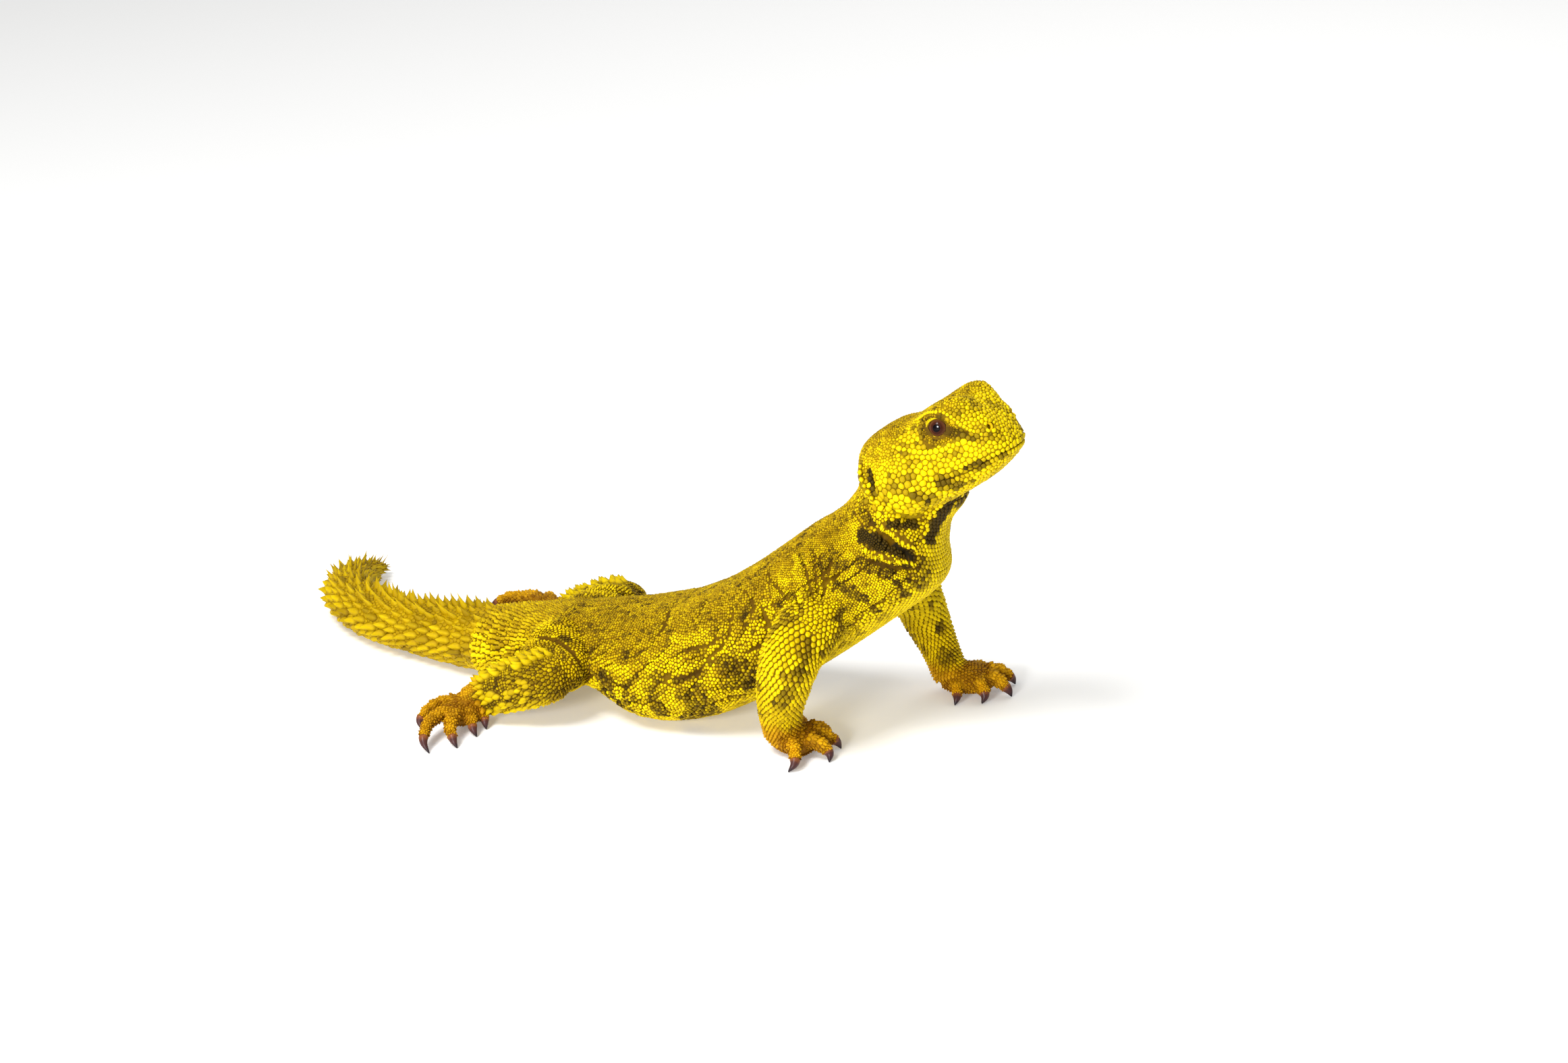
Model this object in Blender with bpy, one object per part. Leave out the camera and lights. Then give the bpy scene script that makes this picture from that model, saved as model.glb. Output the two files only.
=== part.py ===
"""A life-size uromastyx that props its chest up on straight forelegs, belly and tail on the floor.

+X points forwards along the body, +Y to the animal's left and +Z up. The origin is on the floor, under
the belly's resting flat. Driving sizes are in millimetres and degrees; the meshes are in metres.
"""

import math
import random
from typing import NamedTuple

import bmesh
import bpy
import numpy as np
from mathutils import Vector

MM = 0.001
GAP = 0.3
SUNK = 0.9
SHAVED = 0.05
FLOOR_DEPTH = 20.0
SKIN_YELLOW = (0.72, 0.55, 0.03, 1.0)
FOOT_ORANGE = (0.60, 0.30, 0.04, 1.0)
CLAW_HORN = (0.12, 0.07, 0.05, 1.0)
EYE_BROWN = (0.10, 0.03, 0.02, 1.0)
SEED = 7


class Ring(NamedTuple):
    """A cross-section of the trunk or neck, by its highest and lowest points and its half width."""

    back_x: float
    back_z: float
    belly_x: float
    belly_z: float
    half_width: float
    y: float = 0.0
    yaw: float = 0.0
    widest: float = 0.45
    square: float = 2.2


class Slice(NamedTuple):
    """A cross-section of the head, square to its length, measured from the middle between the eyes."""

    x: float
    top: float
    bottom: float
    half_width: float
    widest: float = 0.36
    square: float = 2.5


class Knot(NamedTuple):
    """A cross-section of the tail, a limb or a toe: its centre and its half sizes across and upright."""

    x: float
    y: float
    z: float
    half_width: float
    half_height: float


class Bump(NamedTuple):
    """A swelling or hollow of the head: where it is, how far it spreads each way, how high it stands."""

    x: float
    y: float
    z: float
    spread_x: float
    spread_y: float
    spread_z: float
    height: float


class Digit(NamedTuple):
    """A finger or toe: the joints from the palm to its end, the claw's tip, and its half width."""

    name: str
    joints: tuple
    claw_tip: tuple
    half_width: float


# Trunk and neck, from the tail's root to inside the head
TRUNK = (
    Ring(-50, 18.8, -50, 0.0, 11.5, y=1.0, yaw=-14, widest=0.5, square=2.0),
    Ring(-41, 20.8, -40, 1.0, 13.4, y=0.2, yaw=-6),
    Ring(-30, 22.6, -29, 2.8, 15.8),
    Ring(-17, 24.8, -15, 3.8, 19.2),
    Ring(-3, 27.4, 2, -1.4, 25.8),
    Ring(10, 31.9, 19, 1.1, 26.4),
    Ring(22, 39.0, 34, 8.9, 23.5),
    Ring(32.6, 47.2, 48.9, 19.2, 20.0),
    Ring(42.6, 55.5, 65.0, 32.2, 17.5),
)
NECK = (
    Ring(50.4, 61.3, 78.1, 44.0, 16.0),
    Ring(55.3, 68.0, 78.4, 53.0, 13.8),
    Ring(57.8, 74.8, 79.2, 60.0, 12.6, yaw=-4),
    Ring(62.5, 81.0, 83.2, 67.3, 11.5, yaw=-8),
    Ring(67, 86.0, 80.5, 75.5, 8.0, yaw=-8),
)
TRUNK_SIDES = 28
BODY_STEPS = 3

# Head, in its own frame: x along the snout, z up, from the middle between the eyes
HEAD_AT = (81.6, -3.0, 89.7)
HEAD_YAW = -10.0
HEAD_PITCH = 30.0
HEAD_ROLL = 4.0
HEAD_SIDES = 32
HEAD_STEPS = 2
HEAD = (
    Slice(-29.5, -4.0, -8.8, 2.0, 0.5, 2.0),
    Slice(-28.7, 0.8, -12.9, 7.8, 0.5, 2.1),
    Slice(-26.0, 4.0, -16.5, 12.6, 0.42, 2.3),
    Slice(-21.2, 5.2, -18.4, 14.2),
    Slice(-15.5, 5.6, -18.8, 14.6),
    Slice(-10.5, 5.7, -18.7, 13.5),
    Slice(-5.5, 5.6, -18.3, 12.0),
    Slice(-0.5, 5.5, -17.8, 10.8),
    Slice(4.0, 5.0, -17.0, 9.8),
    Slice(7.2, 3.4, -16.1, 8.8),
    Slice(9.8, 0.4, -15.1, 7.7),
    Slice(11.7, -2.8, -14.2, 6.3),
    Slice(12.9, -6.4, -13.4, 4.5),
    Slice(13.5, -10.0, -12.3, 1.4, 0.5, 2.0),
)
BROW = Bump(5.9, 8.9, 5.6, 4.6, 3.3, 3.2, 6.3)
CANTHUS = Bump(9.0, 7.0, 1.4, 3.0, 2.4, 2.2, 2.0)
CROWN_DIP = Bump(1.0, 0.0, 6.0, 5.5, 3.4, 3.0, -0.8)
CHEEK = Bump(-15.0, 13.8, -10.0, 6.0, 4.0, 4.5, 1.2)
TEMPLE = Bump(-8.5, 11.0, 1.0, 3.6, 3.0, 2.6, -0.9)
LORE = Bump(5.6, 9.0, -4.5, 3.0, 3.0, 2.4, -0.9)
LID = Bump(-0.5, 9.4, 0.2, 3.0, 3.0, 2.7, 1.3)
NOSTRIL_SWELL = Bump(10.9, 5.8, -4.6, 1.7, 1.7, 1.7, 0.9)
LIP = Bump(8.0, 8.5, -10.5, 6.0, 3.0, 1.6, 0.5)
PAIRED = (BROW, CANTHUS, CHEEK, TEMPLE, LORE, LID, NOSTRIL_SWELL, LIP)
EYE_AT = (-0.5, 7.0, 0.3)
EYE_RADIUS = 3.5
MOUTH_LEVEL = -11.9
MOUTH_STOPS = (-6.0, 1.0, 6.5, 10.2, 12.3)
MOUTH_TIP = 13.7
MOUTH_DROOP = 0.3
MOUTH_HEIGHT = 0.3
MOUTH_DEPTH = 1.1
NOSTRIL_AT = (11.7, 6.3, -4.8)
NOSTRIL_RADIUS = 0.65
EAR_AT = (-24.4, 12.0, -6.0)
EAR_HALF = (1.0, 2.6, 3.2)

# Tail, from its root to its tip
TAIL = (
    Knot(-50, 1.0, 9.4, 11.2, 9.4),
    Knot(-64, 3.8, 8.3, 9.7, 8.3),
    Knot(-79, 7.4, 7.4, 8.9, 7.4),
    Knot(-91, 12.0, 6.9, 8.7, 7.1),
    Knot(-101, 19.0, 6.5, 8.0, 6.7),
    Knot(-108.2, 27.5, 6.1, 7.3, 6.3),
    Knot(-111.8, 37.0, 5.3, 6.2, 5.5),
    Knot(-113.2, 45.5, 4.3, 4.7, 4.4),
    Knot(-113.0, 52.5, 3.4, 2.9, 2.9),
    Knot(-112.2, 57.8, 2.4, 1.1, 1.3),
)
TAIL_SIDES = 16
TAIL_STEPS = 3
TAIL_LENGTHS = (("tail_base", 0, 7), ("tail_middle", 7, 13), ("tail_bend", 13, 19), ("tail_tip", 19, 27))
WHORL_FIRST = 4.5
WHORL_LAST = 3.0
WHORL_STEP = 5.4
WHORL_SLOPE = 0.6
WHORL_TAPER = 0.0066
WHORL_COUNTS = (10, 6)
WHORL_SIZES = (1.0, 0.52)
WHORL_TURNS = (2, 178)
SPINE_TALL = 3.6
SPINE_HALF_WIDTH = 1.6
SPINE_LEAN = 48.0
SPINE_LENGTH = 1.25
SIDE_SHORTER = 0.25
SIDE_LEAN = 14.0

# Forelegs and hind legs
UPPER_ARM_RIGHT = (
    Knot(51, -7, 38, 9.0, 9.0),
    Knot(49.0, -17.5, 35, 8.2, 8.8),
    Knot(46.0, -25, 28.5, 7.2, 7.8),
    Knot(44.0, -26, 20, 6.7, 7.0),
    Knot(42.2, -23.4, 12, 5.4, 5.8),
    Knot(42.3, -21.2, 5, 5.4, 5.0),
)
UPPER_ARM_LEFT = (
    Knot(53, 7, 38, 9.0, 9.0),
    Knot(56.5, 18.5, 35, 8.0, 8.4),
    Knot(60.3, 28.5, 28, 6.9, 7.3),
    Knot(62.8, 32.5, 19.5, 6.0, 6.2),
    Knot(67.0, 32.5, 11, 4.9, 5.0),
    Knot(70.0, 32, 5, 5.3, 4.9),
)
THIGH_RIGHT = (
    Knot(-28, -5, 12.5, 9.0, 8.5),
    Knot(-24.5, -13, 13.5, 9.8, 9.4),
    Knot(-20.8, -20.5, 14.3, 8.3, 7.8),
    Knot(-18.5, -25.0, 14.2, 6.1, 6.0),
    Knot(-17.4, -27.6, 13.8, 3.3, 3.4),
)
THIGH_LEFT = (
    Knot(-29, 5, 12.5, 9.0, 8.5),
    Knot(-27, 14, 12.9, 9.8, 9.0),
    Knot(-24.4, 22, 13.1, 8.6, 8.2),
    Knot(-22.9, 27.0, 12.9, 6.4, 6.5),
    Knot(-22.2, 29.6, 12.7, 3.4, 3.7),
)
SHANK_RIGHT = (
    Knot(-16.4, -24.0, 14.4, 4.1, 4.0),
    Knot(-19.3, -25.0, 13.9, 6.9, 6.4),
    Knot(-25.2, -27.0, 11.9, 7.7, 7.1),
    Knot(-33.0, -29.2, 9.0, 6.6, 6.3),
    Knot(-38.8, -30.8, 6.6, 5.2, 5.2),
    Knot(-43.0, -32.4, 4.6, 4.8, 4.2),
)
SHANK_LEFT = (
    Knot(-19.6, 27.6, 12.5, 4.4, 4.4),
    Knot(-22.6, 29.0, 12.3, 7.1, 7.1),
    Knot(-28.9, 32.0, 11.1, 7.6, 7.2),
    Knot(-37.0, 35.4, 8.2, 6.4, 6.0),
    Knot(-43.5, 37.8, 5.8, 5.0, 4.8),
    Knot(-48.0, 39.4, 4.0, 4.6, 3.8),
)
PALM_RIGHT = (
    Knot(39.8, -16.6, 3.8, 3.4, 3.6),
    Knot(42.4, -19.6, 4.1, 5.8, 4.6),
    Knot(46.3, -22.0, 3.7, 6.7, 4.0),
    Knot(50.0, -23.2, 2.7, 5.5, 2.9),
)
PALM_LEFT = (
    Knot(67.5, 31.6, 3.8, 3.4, 3.6),
    Knot(71.0, 32.4, 4.2, 6.0, 4.8),
    Knot(76.0, 34.2, 4.0, 7.2, 4.4),
    Knot(80.0, 35.6, 2.8, 5.6, 3.0),
)
SOLE_RIGHT = (
    Knot(-38.0, -28.0, 3.8, 3.2, 3.6),
    Knot(-40.2, -31.0, 4.4, 5.2, 4.8),
    Knot(-42.2, -35.5, 4.2, 6.0, 4.4),
    Knot(-43.2, -39.4, 3.0, 4.6, 3.0),
)
SOLE_LEFT = (
    Knot(-45.8, 38.3, 3.4, 3.4, 3.2),
    Knot(-47.5, 39.2, 3.8, 5.2, 4.1),
    Knot(-52.5, 41.4, 3.4, 5.8, 3.6),
    Knot(-56.4, 43.2, 2.7, 4.5, 2.7),
)
HAND_RIGHT = (
    Digit("1", ((43.0, -16.5, 3.8), (42.6, -11.5, 3.8), (42.3, -7.8, 2.6)), (42.0, -4.2, 0.2), 1.8),
    Digit("2", ((46.0, -17.5, 4.2), (48.3, -13.9, 4.3), (49.6, -11.0, 2.8)), (50.6, -8.2, 0.2), 2.0),
    Digit("3", ((47.0, -19.5, 4.6), (50.9, -17.8, 4.6), (53.6, -16.2, 3.0)), (56.0, -15.4, 0.2), 2.1),
    Digit("4", ((47.5, -22.0, 4.4), (51.8, -23.4, 4.8), (54.4, -22.8, 2.9)), (56.2, -24.8, 0.2), 2.1),
    Digit("5", ((45.5, -23.0, 4.0), (47.4, -27.6, 4.2), (49.2, -31.0, 2.8)), (48.6, -34.4, 0.2), 1.9),
)
HAND_LEFT = (
    Digit("1", ((72.0, 31.0, 3.8), (72.8, 28.0, 3.8), (73.8, 25.8, 2.6)), (74.2, 22.8, 0.2), 1.8),
    Digit("2", ((75.5, 32.0, 4.2), (78.2, 30.4, 4.4), (80.2, 28.8, 2.8)), (80.6, 26.4, 0.2), 2.0),
    Digit("3", ((77.0, 34.0, 4.6), (81.2, 34.4, 4.8), (84.0, 34.4, 3.0)), (86.6, 33.8, 0.2), 2.1),
    Digit("4", ((76.5, 36.0, 4.4), (80.2, 39.4, 4.8), (82.8, 41.6, 2.9)), (84.8, 42.6, 0.2), 2.1),
    Digit("5", ((73.5, 36.5, 4.0), (74.4, 41.2, 4.2), (75.0, 44.8, 2.8)), (75.4, 48.0, 0.2), 1.9),
)
FOOT_RIGHT = (
    Digit("1", ((-39.4, -30.6, 4.0), (-37.8, -33.0, 4.2), (-36.7, -34.8, 2.8)), (-35.2, -36.8, 0.2), 1.7),
    Digit("2", ((-40.4, -34.0, 4.4), (-39.4, -37.6, 4.6), (-37.7, -40.2, 2.8)), (-35.4, -42.2, 0.2), 1.8),
    Digit("3", ((-41.6, -36.5, 4.6), (-41.9, -42.0, 5.0), (-41.1, -46.2, 4.0), (-39.6, -48.4, 2.8)),
          (-36.9, -50.8, 0.2), 1.8),
    Digit("4", ((-43.0, -37.0, 4.8), (-45.2, -43.4, 5.4), (-46.0, -48.6, 5.0), (-45.3, -52.8, 3.6)),
          (-42.2, -56.4, 0.2), 1.8),
    Digit("5", ((-43.0, -33.0, 4.8), (-46.8, -34.4, 5.6), (-50.2, -38.0, 5.0), (-51.8, -40.4, 3.2)),
          (-50.6, -43.2, 0.2), 1.7),
)
FOOT_LEFT = (
    Digit("1", ((-49.5, 41.7, 3.6), (-50.4, 45.6, 3.8), (-51.2, 48.4, 2.6)), (-52.4, 51.0, 0.2), 1.8),
    Digit("2", ((-52.5, 42.5, 3.8), (-55.0, 47.2, 4.0), (-57.4, 50.4, 2.6)), (-59.8, 52.6, 0.2), 1.9),
    Digit("3", ((-54.0, 42.6, 4.0), (-58.6, 45.8, 4.3), (-62.2, 47.8, 3.6), (-64.4, 48.6, 2.6)),
          (-67.2, 48.8, 0.2), 1.9),
    Digit("4", ((-55.0, 41.4, 4.0), (-60.6, 43.2, 4.6), (-65.6, 43.8, 4.1), (-68.4, 43.0, 2.9)),
          (-70.8, 41.0, 0.2), 1.9),
    Digit("5", ((-50.5, 39.4, 3.9), (-53.6, 37.2, 4.2), (-57.0, 36.4, 3.6), (-59.0, 36.4, 2.6)),
          (-61.8, 36.8, 0.2), 1.7),
)
LIMB_SIDES = 14
LIMB_STEPS = 3
TOE_SIDES = 6
TOE_STEPS = 2
ELBOW = 7
WRIST = 13
ANKLE = 12
FORWARD = (1.0, 0.0, 0.0)
CLAW_SIZE = 0.78
CLAW_CURVE = 0.55
CLAW_ROOT = 0.62
CLAW_SHARP = 0.16
LEG_ROWS = 6
LEG_FIRST = 5.0
LEG_STEP = 1.45
LEG_TURNS = (25, 52, 79, 106)
LEG_STAGGER = 13
LEG_TALL = (2.2, 3.0)
LEG_TAPER = 0.05
LEG_HALF_WIDTH = 1.25


def catmull(rows, steps):
    """Rows of numbers joined by a smooth curve, with this many steps from each row to the next."""
    rows = np.asarray(rows, float)
    ends = np.vstack([2 * rows[0] - rows[1], rows, 2 * rows[-1] - rows[-2]])
    made = []
    for i in range(len(rows) - 1):
        a, b, c, d = ends[i : i + 4]
        for k in range(steps):
            t = k / steps
            square = (2 * a - 5 * b + 4 * c - d) * t**2
            cube = (3 * b - a - 3 * c + d) * t**3
            made.append(0.5 * (2 * b + (c - a) * t + square + cube))
    return np.array(made + [rows[-1]])


def unit(vector):
    return vector / np.linalg.norm(vector)


def oval(centre, side, up, half_width, top, bottom, square, count):
    """One closed ring of points round a centre, from its side, top and bottom half sizes."""
    angles = 2 * np.pi * np.arange(count) / count
    c, s = np.cos(angles), np.sin(angles)
    across = half_width * np.sign(c) * np.abs(c) ** (2 / square)
    high = np.where(s > 0, top, bottom) * np.sign(s) * np.abs(s) ** (2 / square)
    return centre + np.outer(across, side) + np.outer(high, up)


def body_rings(rings, steps, count):
    """Rings of points for the trunk or neck, each in the plane of its own back and belly points."""
    made = []
    for row in catmull(rings, steps):
        ring = Ring(*row)
        yaw = math.radians(ring.yaw)
        side = np.array([-math.sin(yaw), math.cos(yaw), 0.0])
        low = np.array([ring.belly_x, ring.y, ring.belly_z])
        high = np.array([ring.back_x, ring.y, ring.back_z])
        tall = np.linalg.norm(high - low)
        up = (high - low) / tall
        centre = low + up * tall * ring.widest
        top, bottom = tall * (1 - ring.widest), tall * ring.widest
        made.append(oval(centre, side, up, ring.half_width, top, bottom, ring.square, count))
    return made


def path_rings(knots, steps, count, up=(0.0, 0.0, 1.0), grow=0.0):
    """Rings of points along a limb, toe or tail, each square to the path."""
    rows = catmull(knots, steps)
    ahead = np.gradient(rows[:, :3], axis=0)
    made = []
    for row, along in zip(rows, ahead):
        side = unit(np.cross(along, up))
        high = unit(np.cross(side, along))
        tall = row[4] + grow
        made.append(oval(row[:3], side, high, row[3] + grow, tall, tall, 2.0, count))
    if grow:
        made[0] = shifted(made[0], -ahead[0], grow)
        made[-1] = shifted(made[-1], ahead[-1], grow)
    return made


def mirrored(bump):
    return bump._replace(y=-bump.y)


HEAD_BUMPS = PAIRED + tuple(mirrored(bump) for bump in PAIRED) + (CROWN_DIP,)


def head_axes():
    """The head's own forward, left and up directions in the world."""
    yaw, pitch = math.radians(HEAD_YAW), math.radians(HEAD_PITCH)
    ahead = np.array([math.cos(yaw) * math.cos(pitch), math.sin(yaw) * math.cos(pitch), math.sin(pitch)])
    level = np.array([-math.sin(yaw), math.cos(yaw), 0.0])
    roll = math.radians(HEAD_ROLL)
    left = level * math.cos(roll) + np.cross(ahead, level) * math.sin(roll)
    return np.array([ahead, left, np.cross(ahead, left)])


def from_head(points):
    """Points of the head's own frame, in the world."""
    return np.asarray(points, float) @ head_axes() + np.array(HEAD_AT)


def on_side(place, side):
    return (place[0], place[1] * side, place[2])


def head_rings(steps, count, grow=0.0):
    """Rings of points for the head with its brows, cheeks and other swellings."""
    made = []
    for row in catmull(HEAD, steps):
        cut = Slice(*row)
        tall = cut.top - cut.bottom
        centre = np.array([cut.x, 0.0, cut.bottom + tall * cut.widest])
        top, bottom = tall * (1 - cut.widest), tall * cut.widest
        ring = oval(centre, (0, 1, 0), (0, 0, 1), cut.half_width, top, bottom, cut.square, count)
        outward = ring - centre
        outward /= np.linalg.norm(outward, axis=1)[:, None]
        rise = np.full(count, grow)
        for bump in HEAD_BUMPS:
            away = (ring - bump[:3]) / bump[3:6]
            rise += bump.height * np.exp(-0.5 * (away**2).sum(axis=1))
        made.append(from_head(ring + outward * rise[:, None]))
    if grow:
        ahead = head_axes()[0]
        made[0] = shifted(made[0], -ahead, grow)
        made[-1] = shifted(made[-1], ahead, grow)
    return made


def head_half_width(x, z):
    """Half the head's width at a place along it and a height, without the swellings."""
    rows = catmull(HEAD, 4)
    values = [np.interp(x, rows[:, 0], rows[:, i]) for i in range(1, 6)]
    top, bottom, half_width, widest, square = values
    middle = bottom + (top - bottom) * widest
    reach = (top - middle) if z > middle else (middle - bottom)
    part = min(abs(z - middle) / reach, 0.999)
    return half_width * (1 - part**square) ** (1 / square)


def material(name, colour, roughness):
    made = bpy.data.materials.get(name) or bpy.data.materials.new(name)
    made.use_nodes = True
    shader = made.node_tree.nodes["Principled BSDF"]
    shader.inputs["Base Color"].default_value = colour
    shader.inputs["Roughness"].default_value = roughness
    shader.inputs["Metallic"].default_value = 0.0
    return made


def solid(name, rings, paint=None):
    """A closed mesh object through rings of points, with flat ends and its origin at its root."""
    points = np.array(rings, float) * MM
    root = points[0].mean(axis=0)
    mesh = bmesh.new()
    rows = [[mesh.verts.new(Vector(p - root)) for p in ring] for ring in points]
    for first, second in zip(rows, rows[1:]):
        for k in range(len(first)):
            j = (k + 1) % len(first)
            mesh.faces.new((first[k], first[j], second[j], second[k]))
    mesh.faces.new(reversed(rows[0]))
    mesh.faces.new(rows[-1])
    bmesh.ops.recalc_face_normals(mesh, faces=mesh.faces)
    data = bpy.data.meshes.new(name)
    mesh.to_mesh(data)
    mesh.free()
    made = bpy.data.objects.new(name, data)
    made.location = root
    bpy.context.scene.collection.objects.link(made)
    if paint:
        data.materials.append(paint)
    return made


def ball(name, centre, radii, paint=None, segments=16, rings=10):
    """A closed ellipsoid, its centre and half sizes in mm, lying along the head's own axes."""
    mesh = bmesh.new()
    bmesh.ops.create_uvsphere(mesh, u_segments=segments, v_segments=rings, radius=1.0)
    axes = head_axes()
    for vert in mesh.verts:
        vert.co = Vector((np.array(vert.co) * radii) @ axes * MM)
    data = bpy.data.meshes.new(name)
    mesh.to_mesh(data)
    mesh.free()
    made = bpy.data.objects.new(name, data)
    made.location = Vector(np.asarray(centre) * MM)
    bpy.context.scene.collection.objects.link(made)
    if paint:
        data.materials.append(paint)
    return made


def settle(made):
    """Apply the object's modifiers and keep only the largest closed surface."""
    bpy.context.view_layer.update()
    graph = bpy.context.evaluated_depsgraph_get()
    data = bpy.data.meshes.new_from_object(made.evaluated_get(graph), depsgraph=graph)
    made.modifiers.clear()
    made.data = data
    mesh = bmesh.new()
    mesh.from_mesh(data)
    mesh.verts.ensure_lookup_table()
    left = set(mesh.verts)
    islands = []
    while left:
        todo = [left.pop()]
        island = set(todo)
        while todo:
            for edge in todo.pop().link_edges:
                for vert in edge.verts:
                    if vert in left:
                        left.remove(vert)
                        island.add(vert)
                        todo.append(vert)
        islands.append(island)
    biggest = max(islands, key=len)
    extra = [vert for vert in mesh.verts if vert not in biggest]
    bmesh.ops.delete(mesh, geom=extra, context="VERTS")
    mesh.to_mesh(data)
    mesh.free()
    return made


def combine(made, others, operation, solver="EXACT"):
    """One Boolean on a collection of closed objects, applied, with those objects then removed."""
    group = bpy.data.collections.new("group")
    bpy.context.scene.collection.children.link(group)
    for other in others:
        group.objects.link(other)
        bpy.context.scene.collection.objects.unlink(other)
    modifier = made.modifiers.new("combine", "BOOLEAN")
    modifier.operation = operation
    modifier.solver = solver
    modifier.operand_type = "COLLECTION"
    modifier.collection = group
    settle(made)
    for other in others:
        bpy.data.objects.remove(other)
    bpy.data.collections.remove(group)
    return made


def floor_slab():
    """What lies below the floor, to leave each resting piece a flat."""
    half = 200 * MM
    deep = FLOOR_DEPTH * MM
    mesh = bmesh.new()
    bmesh.ops.create_cube(mesh, size=1.0)
    for vert in mesh.verts:
        vert.co = Vector((vert.co.x * 2 * half, vert.co.y * 2 * half, (vert.co.z - 0.5) * deep))
    data = bpy.data.meshes.new("floor_slab")
    mesh.to_mesh(data)
    mesh.free()
    made = bpy.data.objects.new("floor_slab", data)
    bpy.context.scene.collection.objects.link(made)
    return made


def shifted(ring, direction, distance):
    return ring + unit(np.asarray(direction, float)) * distance


def parted(rings, first, last):
    """A length of a run of rings, drawn back by half the gap where it meets the next length."""
    part = [ring.copy() for ring in rings[first : last + 1]]
    ahead = part[1].mean(axis=0) - part[0].mean(axis=0)
    behind = part[-1].mean(axis=0) - part[-2].mean(axis=0)
    if first > 0:
        part[0] = shifted(part[0], ahead, GAP / 2)
    if last < len(rings) - 1:
        part[-1] = shifted(part[-1], behind, -GAP / 2)
    return part


def spine(name, root, outward, lean_to, tall, half_width, lean):
    """A five-sided cone set in the surface it grows from, leaning towards the given direction."""
    outward = unit(outward)
    lean_to = unit(lean_to - outward * np.dot(lean_to, outward))
    angle = math.radians(lean)
    tip = root + (outward * math.cos(angle) + lean_to * math.sin(angle)) * tall
    across = np.cross(outward, lean_to)
    base = []
    for k in range(5):
        turn = 2 * math.pi * (k + 0.5) / 5
        ahead = lean_to * math.cos(turn) * half_width * SPINE_LENGTH
        aside = across * math.sin(turn) * half_width
        base.append(root - outward * SUNK + ahead + aside)
    mesh = bmesh.new()
    verts = [mesh.verts.new(Vector((p - root) * MM)) for p in base]
    peak = mesh.verts.new(Vector((tip - root) * MM))
    for k in range(5):
        mesh.faces.new((verts[k], verts[(k + 1) % 5], peak))
    mesh.faces.new(reversed(verts))
    bmesh.ops.recalc_face_normals(mesh, faces=mesh.faces)
    data = bpy.data.meshes.new(name)
    mesh.to_mesh(data)
    mesh.free()
    made = bpy.data.objects.new(name, data)
    made.location = Vector(root * MM)
    bpy.context.scene.collection.objects.link(made)
    return made


def surface_point(rows, ahead, along, angle):
    """A point of a limb or tail, its outward direction and the direction along, by place and angle."""
    place = [np.interp(along, np.arange(len(rows)), rows[:, i]) for i in range(5)]
    direction = unit(np.array([np.interp(along, np.arange(len(rows)), ahead[:, i]) for i in range(3)]))
    side = unit(np.cross(direction, (0.0, 0.0, 1.0)))
    high = unit(np.cross(side, direction))
    c, s = math.cos(angle), math.sin(angle)
    point = np.array(place[:3]) + side * c * place[3] + high * s * place[4]
    outward = unit(side * c * place[4] + high * s * place[3])
    return point, outward, direction


def tail_spines(draw):
    """Whorls of keeled spines round the top and sides of the tail, smaller towards the tip."""
    rows = catmull(TAIL, TAIL_STEPS)
    ahead = np.gradient(rows[:, :3], axis=0)
    travelled = np.concatenate([[0], np.cumsum(np.linalg.norm(np.diff(rows[:, :3], axis=0), axis=1))])
    made = []
    distance = WHORL_FIRST
    whole = (0, travelled[-1])
    while distance < travelled[-1] - WHORL_LAST:
        along = np.interp(distance, travelled, np.arange(len(rows)))
        size = np.interp(distance, whole, WHORL_SIZES)
        count = int(round(np.interp(distance, whole, WHORL_COUNTS)))
        for k in range(count):
            angle = math.radians(np.interp(k, (0, count - 1), WHORL_TURNS))
            edge = abs(math.cos(angle))
            point, outward, direction = surface_point(rows, ahead, along, angle)
            tall = SPINE_TALL * size * (1 - SIDE_SHORTER * edge) * draw.uniform(0.9, 1.12)
            lean = SPINE_LEAN + SIDE_LEAN * edge + draw.uniform(-4, 4)
            made.append((along, point, outward, direction, tall, SPINE_HALF_WIDTH * size, lean))
        distance += WHORL_STEP * size**WHORL_SLOPE - WHORL_TAPER * distance
    return made


def leg_spines(draw, knots, side):
    """Rows of cones on the upper and rear side of a shank, leaning towards the foot."""
    rows = catmull(knots, LIMB_STEPS)
    ahead = np.gradient(rows[:, :3], axis=0)
    made = []
    for i in range(LEG_ROWS):
        along = LEG_FIRST + LEG_STEP * i
        for turn in LEG_TURNS:
            turn += LEG_STAGGER * (i % 2)
            angle = math.radians(turn if side > 0 else 180 - turn)
            point, outward, direction = surface_point(rows, ahead, along, angle)
            tall = draw.uniform(*LEG_TALL) * (1 - LEG_TAPER * i)
            lean = SPINE_LEAN + draw.uniform(-5, 5)
            made.append((along, point, outward, direction, tall, LEG_HALF_WIDTH, lean))
    return made


def set_spines(made, chosen):
    pieces = [spine("spine", *values[1:]) for values in chosen]
    return combine(made, pieces, "UNION") if pieces else made


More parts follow.
